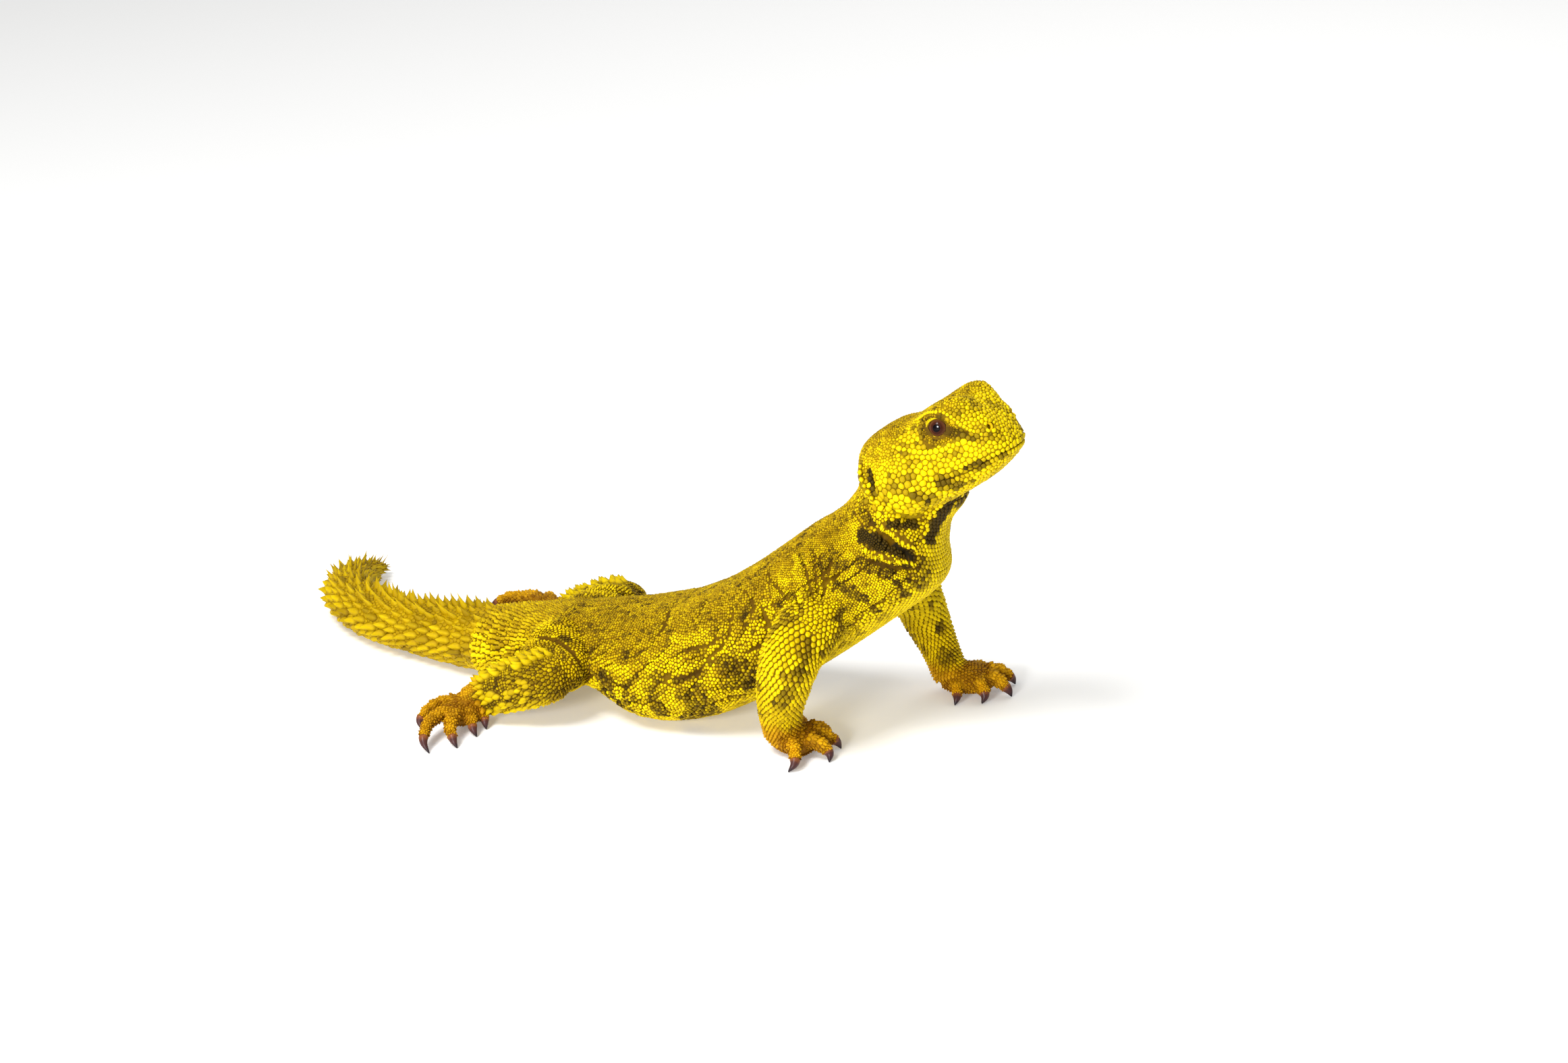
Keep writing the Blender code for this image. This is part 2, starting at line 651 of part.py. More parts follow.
def build_head(skin, eye_paint):
    """Head with its eye sockets, nostrils, ears and mouth line, and the two eyes."""
    head = solid("head", head_rings(HEAD_STEPS, HEAD_SIDES), skin)
    cutters = []
    for side in (1, -1):
        eye = from_head(on_side(EYE_AT, side))
        cutters.append(ball("socket", eye, (EYE_RADIUS + GAP,) * 3))
        cutters.append(ball("nostril", from_head(on_side(NOSTRIL_AT, side)), (NOSTRIL_RADIUS,) * 3, None, 7, 5))
        cutters.append(ball("ear", from_head(on_side(EAR_AT, side)), EAR_HALF, None, 10, 6))
    cutters.append(solid("mouth", mouth_rings()))
    combine(head, cutters, "DIFFERENCE")
    for side, name in ((1, "eye_left"), (-1, "eye_right")):
        ball(name, from_head(on_side(EYE_AT, side)), (EYE_RADIUS,) * 3, eye_paint, 16, 10)
    return head


def mouth_rings():
    """A thin bent strip round the snout at the level of the lips, to cut the mouth's line."""
    path = []
    for x in MOUTH_STOPS:
        share = np.interp(x, (MOUTH_STOPS[0], MOUTH_STOPS[-1]), (0, 1))
        level = MOUTH_LEVEL - MOUTH_DROOP * math.sin(math.pi * share)
        path.append((x, head_half_width(x, level), level))
    front = [(MOUTH_TIP, 0.0, MOUTH_LEVEL)]
    other = [(x, -y, z) for x, y, z in reversed(path)]
    knots = [Knot(*p, MOUTH_DEPTH, MOUTH_HEIGHT) for p in path + front + other]
    return [from_head(ring) for ring in path_rings(knots, 2, 4)]


def build_digit(name, digit, claw_paint):
    """A toe to be fused to its foot, and its claw as a piece of its own."""
    end, tip = np.array(digit.joints[-1]), np.array(digit.claw_tip)
    onward = unit(end - np.array(digit.joints[-2])) * np.linalg.norm(tip - end) * CLAW_CURVE
    middle = 0.5 * (end + onward) + 0.25 * (end + tip)
    half = digit.half_width
    swell = np.linspace(half + 0.5, half - 0.35, len(digit.joints))
    knots = [Knot(*joint, size, size) for joint, size in zip(digit.joints, swell)]
    knots.append(Knot(*middle, half * CLAW_ROOT, half * CLAW_ROOT))
    knots.append(Knot(*tip, CLAW_SHARP, CLAW_SHARP))
    rings = path_rings(knots, TOE_STEPS, TOE_SIDES)
    last = TOE_STEPS * (len(digit.joints) - 1) + 1
    toe = solid("toe", rings[: last + 1])
    claw = [ring.copy() for ring in rings[last:]]
    along = rings[last + 1].mean(axis=0) - rings[last].mean(axis=0)
    centre = claw[0].mean(axis=0)
    claw[0] = shifted(centre + (claw[0] - centre) * CLAW_SIZE, along, GAP)
    solid(name, claw, claw_paint)
    return toe


def build_foot(name, limb, wrist, palm, digits, paint, claw_paint):
    """A hand or foot: the end of its limb, the palm and the toes fused in one, with five claws."""
    rings, grown = limb
    foot = solid(name, parted(rings, wrist, len(rings) - 1), paint)
    above = [ring.copy() for ring in grown[: wrist + 1]]
    onward = above[-1].mean(axis=0) - above[-2].mean(axis=0)
    above[-1] = shifted(above[-1], onward, GAP / 2 + SHAVED)
    pieces = [solid("palm", path_rings(palm, LIMB_STEPS, 14))]
    for digit in digits:
        pieces.append(build_digit(f"claw_{name}_{digit.name}", digit, claw_paint))
    combine(foot, pieces, "UNION")
    combine(foot, [solid("above", above)], "DIFFERENCE")
    return combine(foot, [floor_slab()], "DIFFERENCE")


def build_foreleg(side, knots, palm, digits, paints):
    skin, orange, horn = paints
    rings = path_rings(knots, LIMB_STEPS, LIMB_SIDES, FORWARD)
    grown = path_rings(knots, LIMB_STEPS, LIMB_SIDES, FORWARD, GAP)
    solid(f"upper_arm_{side}", parted(rings, 0, ELBOW), skin)
    solid(f"forearm_{side}", parted(rings, ELBOW, WRIST), skin)
    build_foot(f"hand_{side}", (rings, grown), WRIST, palm, digits, orange, horn)


def build_hindleg(side, thigh_knots, shank_knots, sole, digits, paints, draw):
    skin, orange, horn = paints
    thigh = solid(f"thigh_{side}", path_rings(thigh_knots, LIMB_STEPS, LIMB_SIDES), skin)
    rings = path_rings(shank_knots, LIMB_STEPS, LIMB_SIDES)
    grown = path_rings(shank_knots, LIMB_STEPS, LIMB_SIDES, grow=GAP)
    combine(thigh, [solid("grown", grown)], "DIFFERENCE")
    shank = solid(f"shank_{side}", parted(rings, 0, ANKLE), skin)
    chosen = leg_spines(draw, shank_knots, 1 if side == "left" else -1)
    set_spines(shank, [values for values in chosen if values[0] < ANKLE - 0.4])
    build_foot(f"foot_{side}", (rings, grown), ANKLE, sole, digits, orange, horn)


def build_tail(skin, draw):
    rings = path_rings(TAIL, TAIL_STEPS, TAIL_SIDES)
    spines = tail_spines(draw)
    for name, first, last in TAIL_LENGTHS:
        piece = solid(name, parted(rings, first, last), skin)
        low = first + (0.55 if first else 0.8)
        set_spines(piece, [values for values in spines if low < values[0] < last - 0.65])
        combine(piece, [floor_slab()], "DIFFERENCE")


def build_body(skin):
    """Trunk and neck as one run of rings parted by a thin cut, with the legs' roots let in."""
    rings = body_rings(TRUNK + NECK, BODY_STEPS, TRUNK_SIDES)
    tail = path_rings(TAIL, TAIL_STEPS, TRUNK_SIDES)
    forwards = tail[0].mean(axis=0) - tail[1].mean(axis=0)
    rings[0] = shifted(tail[0], forwards, GAP)
    seam = BODY_STEPS * (len(TRUNK) - 1)
    torso = solid("torso", parted(rings, 0, seam), skin)
    neck = solid("neck", parted(rings, seam, len(rings) - 1), skin)
    combine(neck, [solid("grown", head_rings(HEAD_STEPS, HEAD_SIDES, GAP))], "DIFFERENCE")
    combine(torso, [floor_slab()], "DIFFERENCE")
    for knots in (UPPER_ARM_RIGHT, UPPER_ARM_LEFT):
        for made in (torso, neck):
            grown = path_rings(knots, LIMB_STEPS, LIMB_SIDES, FORWARD, GAP)
            combine(made, [solid("grown", grown)], "DIFFERENCE")
    for knots in (THIGH_RIGHT, THIGH_LEFT, SHANK_RIGHT, SHANK_LEFT):
        grown = path_rings(knots, LIMB_STEPS, LIMB_SIDES, grow=GAP)
        combine(torso, [solid("grown", grown)], "DIFFERENCE")


def main():
    for old in list(bpy.data.objects):
        bpy.data.objects.remove(old)
    draw = random.Random(SEED)
    skin = material("scaly_skin", SKIN_YELLOW, 0.6)
    orange = material("foot_skin", FOOT_ORANGE, 0.6)
    horn = material("claw_horn", CLAW_HORN, 0.35)
    eye_paint = material("eye", EYE_BROWN, 0.1)
    paints = (skin, orange, horn)
    build_body(skin)
    build_head(skin, eye_paint)
    build_tail(skin, draw)
    build_foreleg("right", UPPER_ARM_RIGHT, PALM_RIGHT, HAND_RIGHT, paints)
    build_foreleg("left", UPPER_ARM_LEFT, PALM_LEFT, HAND_LEFT, paints)
    build_hindleg("right", THIGH_RIGHT, SHANK_RIGHT, SOLE_RIGHT, FOOT_RIGHT, paints, draw)
    build_hindleg("left", THIGH_LEFT, SHANK_LEFT, SOLE_LEFT, FOOT_LEFT, paints, draw)


if __name__ == "__main__":
    main()
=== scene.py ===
"""Dresses a life-size uromastyx: one skin over the whole body, its coats of scales and spines, eyes and claws.

+X points forwards along the body, +Y to the animal's left and +Z up, with the origin on the floor under the
belly. Driving sizes are in millimetres and degrees, and meshes are in metres.
"""

import logging
import math
from dataclasses import dataclass, field
from enum import Enum, IntEnum
from typing import Callable, NamedTuple, Sequence

import bpy
import numpy as np
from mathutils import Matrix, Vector
from mathutils.bvhtree import BVHTree
from mathutils.kdtree import KDTree

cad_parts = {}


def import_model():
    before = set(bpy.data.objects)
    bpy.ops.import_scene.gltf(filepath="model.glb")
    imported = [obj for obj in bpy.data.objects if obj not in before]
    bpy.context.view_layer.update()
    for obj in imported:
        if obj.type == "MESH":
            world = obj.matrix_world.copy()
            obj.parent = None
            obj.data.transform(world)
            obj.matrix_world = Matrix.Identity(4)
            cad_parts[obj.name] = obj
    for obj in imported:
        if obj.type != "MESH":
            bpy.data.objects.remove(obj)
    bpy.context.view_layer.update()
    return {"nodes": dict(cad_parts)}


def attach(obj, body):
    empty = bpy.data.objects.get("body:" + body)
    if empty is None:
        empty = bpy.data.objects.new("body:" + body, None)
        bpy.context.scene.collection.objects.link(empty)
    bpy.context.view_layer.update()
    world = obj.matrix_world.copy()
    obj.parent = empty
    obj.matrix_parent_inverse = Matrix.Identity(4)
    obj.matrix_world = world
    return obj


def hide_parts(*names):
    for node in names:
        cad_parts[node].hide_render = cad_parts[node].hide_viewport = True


MM = 0.001
SEED = 11
BODY = "root"
LOG = logging.getLogger("uromastyx")

Array = np.ndarray
Draw = np.random.Generator
Piece = bpy.types.Object
Paint = bpy.types.Material


class Part(IntEnum):
    """A region of the animal, for its scales and markings."""

    TRUNK = 0
    HEAD = 1
    TAIL = 2
    ARM = 3
    THIGH = 4
    SHANK = 5
    PALM = 6
    TOE = 7


class Ring(NamedTuple):
    """A cross-section of the trunk or neck, by its highest and lowest points and its half width."""

    back_x: float
    back_z: float
    belly_x: float
    belly_z: float
    half_width: float
    y: float = 0.0
    yaw: float = 0.0
    widest: float = 0.45
    square: float = 2.2


class Slice(NamedTuple):
    """A cross-section of the head, square to its length, measured from the middle between the eyes."""

    x: float
    top: float
    bottom: float
    half_width: float
    widest: float = 0.36
    square: float = 2.5


class Knot(NamedTuple):
    """A cross-section of the tail, a limb or a toe: its centre and its half sizes across and upright."""

    x: float
    y: float
    z: float
    half_width: float
    half_height: float


class Bump(NamedTuple):
    """A swelling or hollow of the head: where it is, how far it spreads each way, how high it stands."""

    x: float
    y: float
    z: float
    spread_x: float
    spread_y: float
    spread_z: float
    height: float


class Digit(NamedTuple):
    """A finger or toe: the joints from the palm to its end, the claw's tip, and its half width."""

    name: str
    joints: tuple
    claw_tip: tuple
    half_width: float


# Trunk and neck, from the tail's root to inside the head
TRUNK = (
    Ring(-50, 18.8, -50, 0.0, 11.5, y=1.0, yaw=-14, widest=0.5, square=2.0),
    Ring(-41, 20.8, -40, 1.0, 13.4, y=0.2, yaw=-6),
    Ring(-30, 22.6, -29, 2.8, 15.8),
    Ring(-17, 24.8, -15, 3.8, 19.2),
    Ring(-3, 27.4, 2, -1.4, 25.8),
    Ring(10, 31.9, 19, 1.1, 26.4),
    Ring(22, 39.0, 34, 8.9, 23.5),
    Ring(32.6, 47.2, 48.9, 19.2, 20.0),
    Ring(42.6, 55.5, 65.0, 32.2, 17.5),
)
NECK = (
    Ring(50.4, 61.3, 78.1, 44.0, 16.0),
    Ring(55.3, 68.0, 78.4, 53.0, 13.8),
    Ring(57.8, 74.8, 79.2, 60.0, 12.6, yaw=-4),
    Ring(62.5, 81.0, 83.2, 67.3, 11.5, yaw=-8),
    Ring(67, 86.0, 80.5, 75.5, 8.0, yaw=-8),
)

# Head, in its own frame: x along the snout, z up, from the middle between the eyes
HEAD_AT = (81.6, -3.0, 89.7)
HEAD_YAW = -10.0
HEAD_PITCH = 30.0
HEAD_ROLL = 4.0
HEAD = (
    Slice(-29.5, -4.0, -8.8, 2.0, 0.5, 2.0),
    Slice(-28.7, 0.8, -12.9, 7.8, 0.5, 2.1),
    Slice(-26.0, 4.0, -16.5, 12.6, 0.42, 2.3),
    Slice(-21.2, 5.2, -18.4, 14.2),
    Slice(-15.5, 5.6, -18.8, 14.6),
    Slice(-10.5, 4.8, -18.7, 13.5),
    Slice(-5.5, 5.6, -18.3, 12.0),
    Slice(-0.5, 5.5, -17.8, 10.8),
    Slice(4.0, 5.0, -17.0, 9.8),
    Slice(7.2, 3.4, -16.1, 8.8),
    Slice(9.8, 0.4, -15.1, 7.7),
    Slice(11.7, -2.8, -14.2, 6.3),
    Slice(12.9, -6.4, -13.4, 4.5),
    Slice(13.5, -10.0, -12.3, 1.4, 0.5, 2.0),
)
PAIRED_BUMPS = (
    Bump(6.9, 8.9, 5.3, 5.9, 3.3, 3.4, 5.9),
    Bump(10.2, 6.9, 1.6, 2.8, 2.8, 2.8, 4.2),
    Bump(-15.0, 13.8, -10.0, 6.0, 4.0, 4.5, 1.2),
    Bump(-8.5, 11.0, 1.0, 3.6, 3.0, 2.6, -0.9),
    Bump(5.6, 9.0, -4.5, 3.0, 3.0, 2.4, -0.9),
    Bump(-0.5, 9.4, 0.2, 3.0, 3.0, 2.7, 1.3),
    Bump(10.9, 5.8, -4.6, 1.7, 1.7, 1.7, 0.9),
    Bump(8.0, 8.5, -10.5, 6.0, 3.0, 1.6, 0.5),
)
CROWN_DIP = Bump(1.0, 0.0, 6.0, 5.5, 3.4, 3.0, -0.8)
EYE_AT = (-0.5, 7.0, 0.3)
EYE_RADIUS = 3.5
EYE_TILT = math.radians(-22.0)
EYE_WIDE = math.sin(math.radians(50.0))
EYE_TALL = math.sin(math.radians(39.0))
EYE_ALMOND = 1.7

# Toes: how far apart their knuckles are, and how far on and how slim the claws' curves start
KNUCKLE_PITCH = 2.5
CLAW_REACH = 0.55
CLAW_SLIM = 0.62

# Tail, from its root to its tip
TAIL = (
    Knot(-50, 1.0, 9.4, 11.2, 9.4),
    Knot(-64, 3.8, 8.3, 9.7, 8.3),
    Knot(-79, 7.4, 7.4, 8.9, 7.4),
    Knot(-91, 12.0, 6.9, 8.7, 7.1),
    Knot(-101, 19.0, 6.5, 8.0, 6.7),
    Knot(-108.2, 27.5, 6.1, 7.3, 6.3),
    Knot(-111.8, 37.0, 5.3, 6.2, 5.5),
    Knot(-113.2, 45.5, 4.3, 4.7, 4.4),
    Knot(-113.0, 52.5, 3.4, 2.9, 2.9),
    Knot(-112.2, 57.8, 2.4, 1.1, 1.3),
)

# Forelegs and hind legs
ARM_RIGHT = (
    Knot(51, -7, 38, 9.0, 9.0),
    Knot(49.0, -17.5, 35, 8.2, 8.8),
    Knot(46.0, -25, 28.5, 7.2, 7.8),
    Knot(44.0, -26, 20, 6.7, 7.0),
    Knot(42.2, -23.4, 12, 5.4, 5.8),
    Knot(42.3, -21.2, 5, 5.4, 5.0),
)
ARM_LEFT = (
    Knot(53, 7, 38, 9.0, 9.0),
    Knot(56.5, 18.5, 35, 8.0, 8.4),
    Knot(60.3, 28.5, 28, 6.9, 7.3),
    Knot(62.8, 32.5, 19.5, 6.0, 6.2),
    Knot(67.0, 32.5, 11, 4.9, 5.0),
    Knot(70.0, 32, 5, 5.3, 4.9),
)
THIGH_RIGHT = (
    Knot(-28, -5, 12.5, 9.0, 8.5),
    Knot(-24.5, -13, 13.5, 9.8, 9.4),
    Knot(-20.8, -20.5, 14.3, 8.3, 7.8),
    Knot(-18.5, -25.0, 14.2, 6.1, 6.0),
    Knot(-17.4, -27.6, 13.8, 3.3, 3.4),
)
THIGH_LEFT = (
    Knot(-29, 5, 12.5, 9.0, 8.5),
    Knot(-27, 14, 12.9, 9.8, 9.0),
    Knot(-24.4, 22, 13.1, 8.6, 8.2),
    Knot(-22.9, 27.0, 12.9, 6.4, 6.5),
    Knot(-22.2, 29.6, 12.7, 3.4, 3.7),
)
SHANK_RIGHT = (
    Knot(-16.4, -24.0, 14.4, 4.1, 4.0),
    Knot(-19.3, -25.0, 13.9, 6.9, 6.4),
    Knot(-25.2, -27.0, 11.9, 7.7, 7.1),
    Knot(-33.0, -29.2, 9.0, 6.6, 6.3),
    Knot(-38.8, -30.8, 6.6, 5.2, 5.2),
    Knot(-43.0, -32.4, 4.6, 4.8, 4.2),
)
SHANK_LEFT = (
    Knot(-19.6, 27.6, 12.5, 4.4, 4.4),
    Knot(-22.6, 29.0, 12.3, 7.1, 7.1),
    Knot(-28.9, 32.0, 11.1, 7.6, 7.2),
    Knot(-37.0, 35.4, 8.2, 6.4, 6.0),
    Knot(-43.5, 37.8, 5.8, 5.0, 4.8),
    Knot(-48.0, 39.4, 4.0, 4.6, 3.8),
)
PALM_RIGHT = (
    Knot(39.8, -16.6, 3.8, 3.4, 3.6),
    Knot(42.4, -19.6, 4.1, 5.8, 4.6),
    Knot(46.3, -22.0, 3.7, 6.7, 4.0),
    Knot(50.0, -23.2, 2.7, 5.5, 2.9),
)
PALM_LEFT = (
    Knot(67.5, 31.6, 3.8, 3.4, 3.6),
    Knot(71.0, 32.4, 4.2, 6.0, 4.8),
    Knot(76.0, 34.2, 4.0, 7.2, 4.4),
    Knot(80.0, 35.6, 2.8, 5.6, 3.0),
)
SOLE_RIGHT = (
    Knot(-38.0, -28.0, 3.8, 3.2, 3.6),
    Knot(-40.2, -31.0, 4.4, 5.2, 4.8),
    Knot(-42.2, -35.5, 4.2, 6.0, 4.4),
    Knot(-43.2, -39.4, 3.0, 4.6, 3.0),
)
SOLE_LEFT = (
    Knot(-45.8, 38.3, 3.4, 3.4, 3.2),
    Knot(-47.5, 39.2, 3.8, 5.2, 4.1),
    Knot(-52.5, 41.4, 3.4, 5.8, 3.6),
    Knot(-56.4, 43.2, 2.7, 4.5, 2.7),
)
UPRIGHT = (0.0, 0.0, 1.0)
FORWARD = (1.0, 0.0, 0.0)
LIMBS = {
    "arm_right": (Part.ARM, ARM_RIGHT, FORWARD),
    "arm_left": (Part.ARM, ARM_LEFT, FORWARD),
    "thigh_right": (Part.THIGH, THIGH_RIGHT, UPRIGHT),
    "thigh_left": (Part.THIGH, THIGH_LEFT, UPRIGHT),
    "shank_right": (Part.SHANK, SHANK_RIGHT, UPRIGHT),
    "shank_left": (Part.SHANK, SHANK_LEFT, UPRIGHT),
}
HAND_RIGHT = (
    Digit("1", ((43.0, -16.5, 3.8), (42.6, -11.5, 3.8), (42.3, -7.8, 2.6)), (42.0, -4.2, 0.2), 1.8),
    Digit("2", ((46.0, -17.5, 4.2), (48.3, -13.9, 4.3), (49.6, -11.0, 2.8)), (50.6, -8.2, 0.2), 2.0),
    Digit("3", ((47.0, -19.5, 4.6), (50.9, -17.8, 4.6), (53.6, -16.2, 3.0)), (56.0, -15.4, 0.2), 2.1),
    Digit("4", ((47.5, -22.0, 4.4), (51.8, -23.4, 4.8), (54.4, -22.8, 2.9)), (56.2, -24.8, 0.2), 2.1),
    Digit("5", ((45.5, -23.0, 4.0), (47.4, -27.6, 4.2), (49.2, -31.0, 2.8)), (48.6, -34.4, 0.2), 1.9),
)
HAND_LEFT = (
    Digit("1", ((72.0, 31.0, 3.8), (72.8, 28.0, 3.8), (73.8, 25.8, 2.6)), (74.2, 22.8, 0.2), 1.8),
    Digit("2", ((75.5, 32.0, 4.2), (78.2, 30.4, 4.4), (80.2, 28.8, 2.8)), (80.6, 26.4, 0.2), 2.0),
    Digit("3", ((77.0, 34.0, 4.6), (81.2, 34.4, 4.8), (84.0, 34.4, 3.0)), (86.6, 33.8, 0.2), 2.1),
    Digit("4", ((76.5, 36.0, 4.4), (80.2, 39.4, 4.8), (82.8, 41.6, 2.9)), (84.8, 42.6, 0.2), 2.1),
    Digit("5", ((73.5, 36.5, 4.0), (74.4, 41.2, 4.2), (75.0, 44.8, 2.8)), (75.4, 48.0, 0.2), 1.9),
)
FOOT_RIGHT = (
    Digit("1", ((-39.4, -30.6, 4.0), (-37.8, -33.0, 4.2), (-36.7, -34.8, 2.8)), (-35.2, -36.8, 0.2), 1.7),
    Digit("2", ((-40.4, -34.0, 4.4), (-39.4, -37.6, 4.6), (-37.7, -40.2, 2.8)), (-35.4, -42.2, 0.2), 1.8),
    Digit("3", ((-41.6, -36.5, 4.6), (-41.9, -42.0, 5.0), (-41.1, -46.2, 4.0), (-39.6, -48.4, 2.8)),
          (-36.9, -50.8, 0.2), 1.8),
    Digit("4", ((-43.0, -37.0, 4.8), (-45.2, -43.4, 5.4), (-46.0, -48.6, 5.0), (-45.3, -52.8, 3.6)),
          (-42.2, -56.4, 0.2), 1.8),
    Digit("5", ((-43.0, -33.0, 4.8), (-46.8, -34.4, 5.6), (-50.2, -38.0, 5.0), (-51.8, -40.4, 3.2)),
          (-50.6, -43.2, 0.2), 1.7),
)
FOOT_LEFT = (
    Digit("1", ((-49.5, 41.7, 3.6), (-50.4, 45.6, 3.8), (-51.2, 48.4, 2.6)), (-52.4, 51.0, 0.2), 1.8),
    Digit("2", ((-52.5, 42.5, 3.8), (-55.0, 47.2, 4.0), (-57.4, 50.4, 2.6)), (-59.8, 52.6, 0.2), 1.9),
    Digit("3", ((-54.0, 42.6, 4.0), (-58.6, 45.8, 4.3), (-62.2, 47.8, 3.6), (-64.4, 48.6, 2.6)),
          (-67.2, 48.8, 0.2), 1.9),
    Digit("4", ((-55.0, 41.4, 4.0), (-60.6, 43.2, 4.6), (-65.6, 43.8, 4.1), (-68.4, 43.0, 2.9)),
          (-70.8, 41.0, 0.2), 1.9),
    Digit("5", ((-50.5, 39.4, 3.9), (-53.6, 37.2, 4.2), (-57.0, 36.4, 3.6), (-59.0, 36.4, 2.6)),
          (-61.8, 36.8, 0.2), 1.7),
)
FEET = {
    "hand_right": (PALM_RIGHT, HAND_RIGHT),
    "hand_left": (PALM_LEFT, HAND_LEFT),
    "foot_right": (SOLE_RIGHT, FOOT_RIGHT),
    "foot_left": (SOLE_LEFT, FOOT_LEFT),
}


def catmull(rows: Sequence, steps: int) -> Array:
    """Rows of numbers joined by a smooth curve, with this many steps from each row to the next."""
    rows = np.asarray(rows, float)
    ends = np.vstack([2 * rows[0] - rows[1], rows, 2 * rows[-1] - rows[-2]])
    a, b, c, d = (ends[i : len(rows) - 1 + i, None, :] for i in range(4))
    t = (np.arange(steps) / steps)[None, :, None]
    square = (2 * a - 5 * b + 4 * c - d) * t**2
    cube = (3 * b - a - 3 * c + d) * t**3
    made = 0.5 * (2 * b + (c - a) * t + square + cube)
    return np.vstack([made.reshape(-1, rows.shape[1]), rows[-1:]])


def unit(vectors: Array) -> Array:
    """Vectors brought to a length of one, row by row."""
    length = np.linalg.norm(vectors, axis=-1, keepdims=True)
    return vectors / np.maximum(length, 1e-12)


def distances(line: Array) -> Array:
    """How far along a line each of its points lies."""
    return np.concatenate([[0.0], np.cumsum(np.linalg.norm(np.diff(line, axis=0), axis=1))])


def from_run(places: Array, start: Array, end: Array) -> tuple[Array, Array]:
    """How far along a straight run each place is, from 0 to 1, and how far off it."""
    run = end - start
    share = np.clip(((places - start) @ run) / max(run @ run, 1e-9), 0.0, 1.0)
    return share, np.linalg.norm(places - start - share[:, None] * run, axis=1)


def boxed(places: Array, line: Sequence, margin: float) -> Array:
    """Which places lie in the line's box, made larger by this margin."""
    low, high = np.min(line, axis=0) - margin, np.max(line, axis=0) + margin
    return ((places > low) & (places < high)).all(axis=1)


def search_tree(places: Array) -> KDTree:
    """A tree that finds the nearest of these places, by number."""
    tree = KDTree(len(places))
    for k, place in enumerate(places):
        tree.insert(place, k)
    tree.balance()
    return tree


def bowed(values: Array, power: float) -> Array:
    """Values to this power, each with its own sign."""
    return np.sign(values) * np.abs(values) ** power


def smooth_step(low: float, high: float, values: Array) -> Array:
    """A soft step from 0 at low to 1 at high."""
    t = np.clip((np.asarray(values, float) - low) / (high - low), 0.0, 1.0)
    return t * t * (3.0 - 2.0 * t)


def oval(centre: Array, side: Array, up: Array, half: float, top: float, bottom: float,
         square: float, count: int) -> Array:
    """One closed ring of points round a centre.

    Args:
        centre: the ring's centre.
        side: the direction of its first point.
        up: the direction a quarter of the way round.
        half: its half width along side.
        top: its half height above the centre.
        bottom: its half height below the centre.
        square: how boxy it is, from 2 for an ellipse.
        count: how many points it has.

    Returns:
        The ring's points, one a row.
    """
    angles = 2 * np.pi * np.arange(count) / count
    c, s = np.cos(angles), np.sin(angles)
    across = half * bowed(c, 2 / square)
    high = np.where(s > 0, top, bottom) * bowed(s, 2 / square)
    return centre + np.outer(across, side) + np.outer(high, up)


def head_axes() -> Array:
    """The head's own forward, left and up directions in the world, one a row."""
    yaw, pitch = math.radians(HEAD_YAW), math.radians(HEAD_PITCH)
    ahead = np.array([math.cos(yaw) * math.cos(pitch), math.sin(yaw) * math.cos(pitch), math.sin(pitch)])
    level = np.array([-math.sin(yaw), math.cos(yaw), 0.0])
    roll = math.radians(HEAD_ROLL)
    left = level * math.cos(roll) + np.cross(ahead, level) * math.sin(roll)
    return np.array([ahead, left, np.cross(ahead, left)])


def from_head(points: Sequence) -> Array:
    """Points of the head's own frame, in the world."""
    return np.asarray(points, float) @ head_axes() + np.array(HEAD_AT)


def to_head(points: Array) -> Array:
    """Points of the world, in the head's own frame."""
    return (np.asarray(points, float) - np.array(HEAD_AT)) @ head_axes().T


def on_side(place: Sequence, side: int) -> tuple:
    """A place of the head's left half, kept there for 1 or mirrored to the right half for -1."""
    return (place[0], place[1] * side, place[2])


@dataclass
class Form:
    """A closed run of rings that the skin is drawn over, with its own part of the body."""

    name: str
    part: Part
    rings: Array

    def travelled(self) -> Array:
        """How far along each ring lies, in millimetres."""
        return distances(self.rings.mean(axis=1))

    def at(self, along: Array, turn: Array) -> Array:
        """Points of the form.

        Args:
            along: how far along each lies, in millimetres.
            turn: how far round, in degrees from the side towards the top.

        Returns:
            The points, one a row.
        """
        travelled = self.travelled()
        place = np.interp(along, travelled, np.arange(len(travelled)))
        low = np.clip(np.floor(place).astype(int), 0, len(self.rings) - 2)
        part = (place - low)[:, None]
        count = self.rings.shape[1]
        spot = np.asarray(turn, float) / 360.0 * count
        first = np.floor(spot).astype(int)
        share = (spot - first)[:, None]
        one, two = first % count, (first + 1) % count
        near = self.rings[low, one] * (1 - share) + self.rings[low, two] * share
        far = self.rings[low + 1, one] * (1 - share) + self.rings[low + 1, two] * share
        return near * (1 - part) + far * part

    def girth(self, along: float) -> float:
        """How far it is round the form at a place along it."""
        turns = np.linspace(0.0, 360.0, 49)
        ring = self.at(np.full(49, along), turns)
        return float(np.linalg.norm(np.diff(ring, axis=0), axis=1).sum())


def body_form(grow: float, steps: int, count: int) -> Form:
    """The trunk and neck as one form, grown or drawn in all round."""
    made = []
    for row in catmull(TRUNK + NECK, steps):
        ring = Ring(*row)
        yaw = math.radians(ring.yaw)
        side = np.array([-math.sin(yaw), math.cos(yaw), 0.0])
        low = np.array([ring.belly_x, ring.y, ring.belly_z])
        high = np.array([ring.back_x, ring.y, ring.back_z])
        tall = float(np.linalg.norm(high - low))
        up = (high - low) / tall
        centre = low + up * tall * ring.widest
        top, bottom = tall * (1 - ring.widest) + grow, tall * ring.widest + grow
        made.append(oval(centre, side, up, ring.half_width + grow, top, bottom, ring.square, count))
    return Form("body", Part.TRUNK, np.array(made))


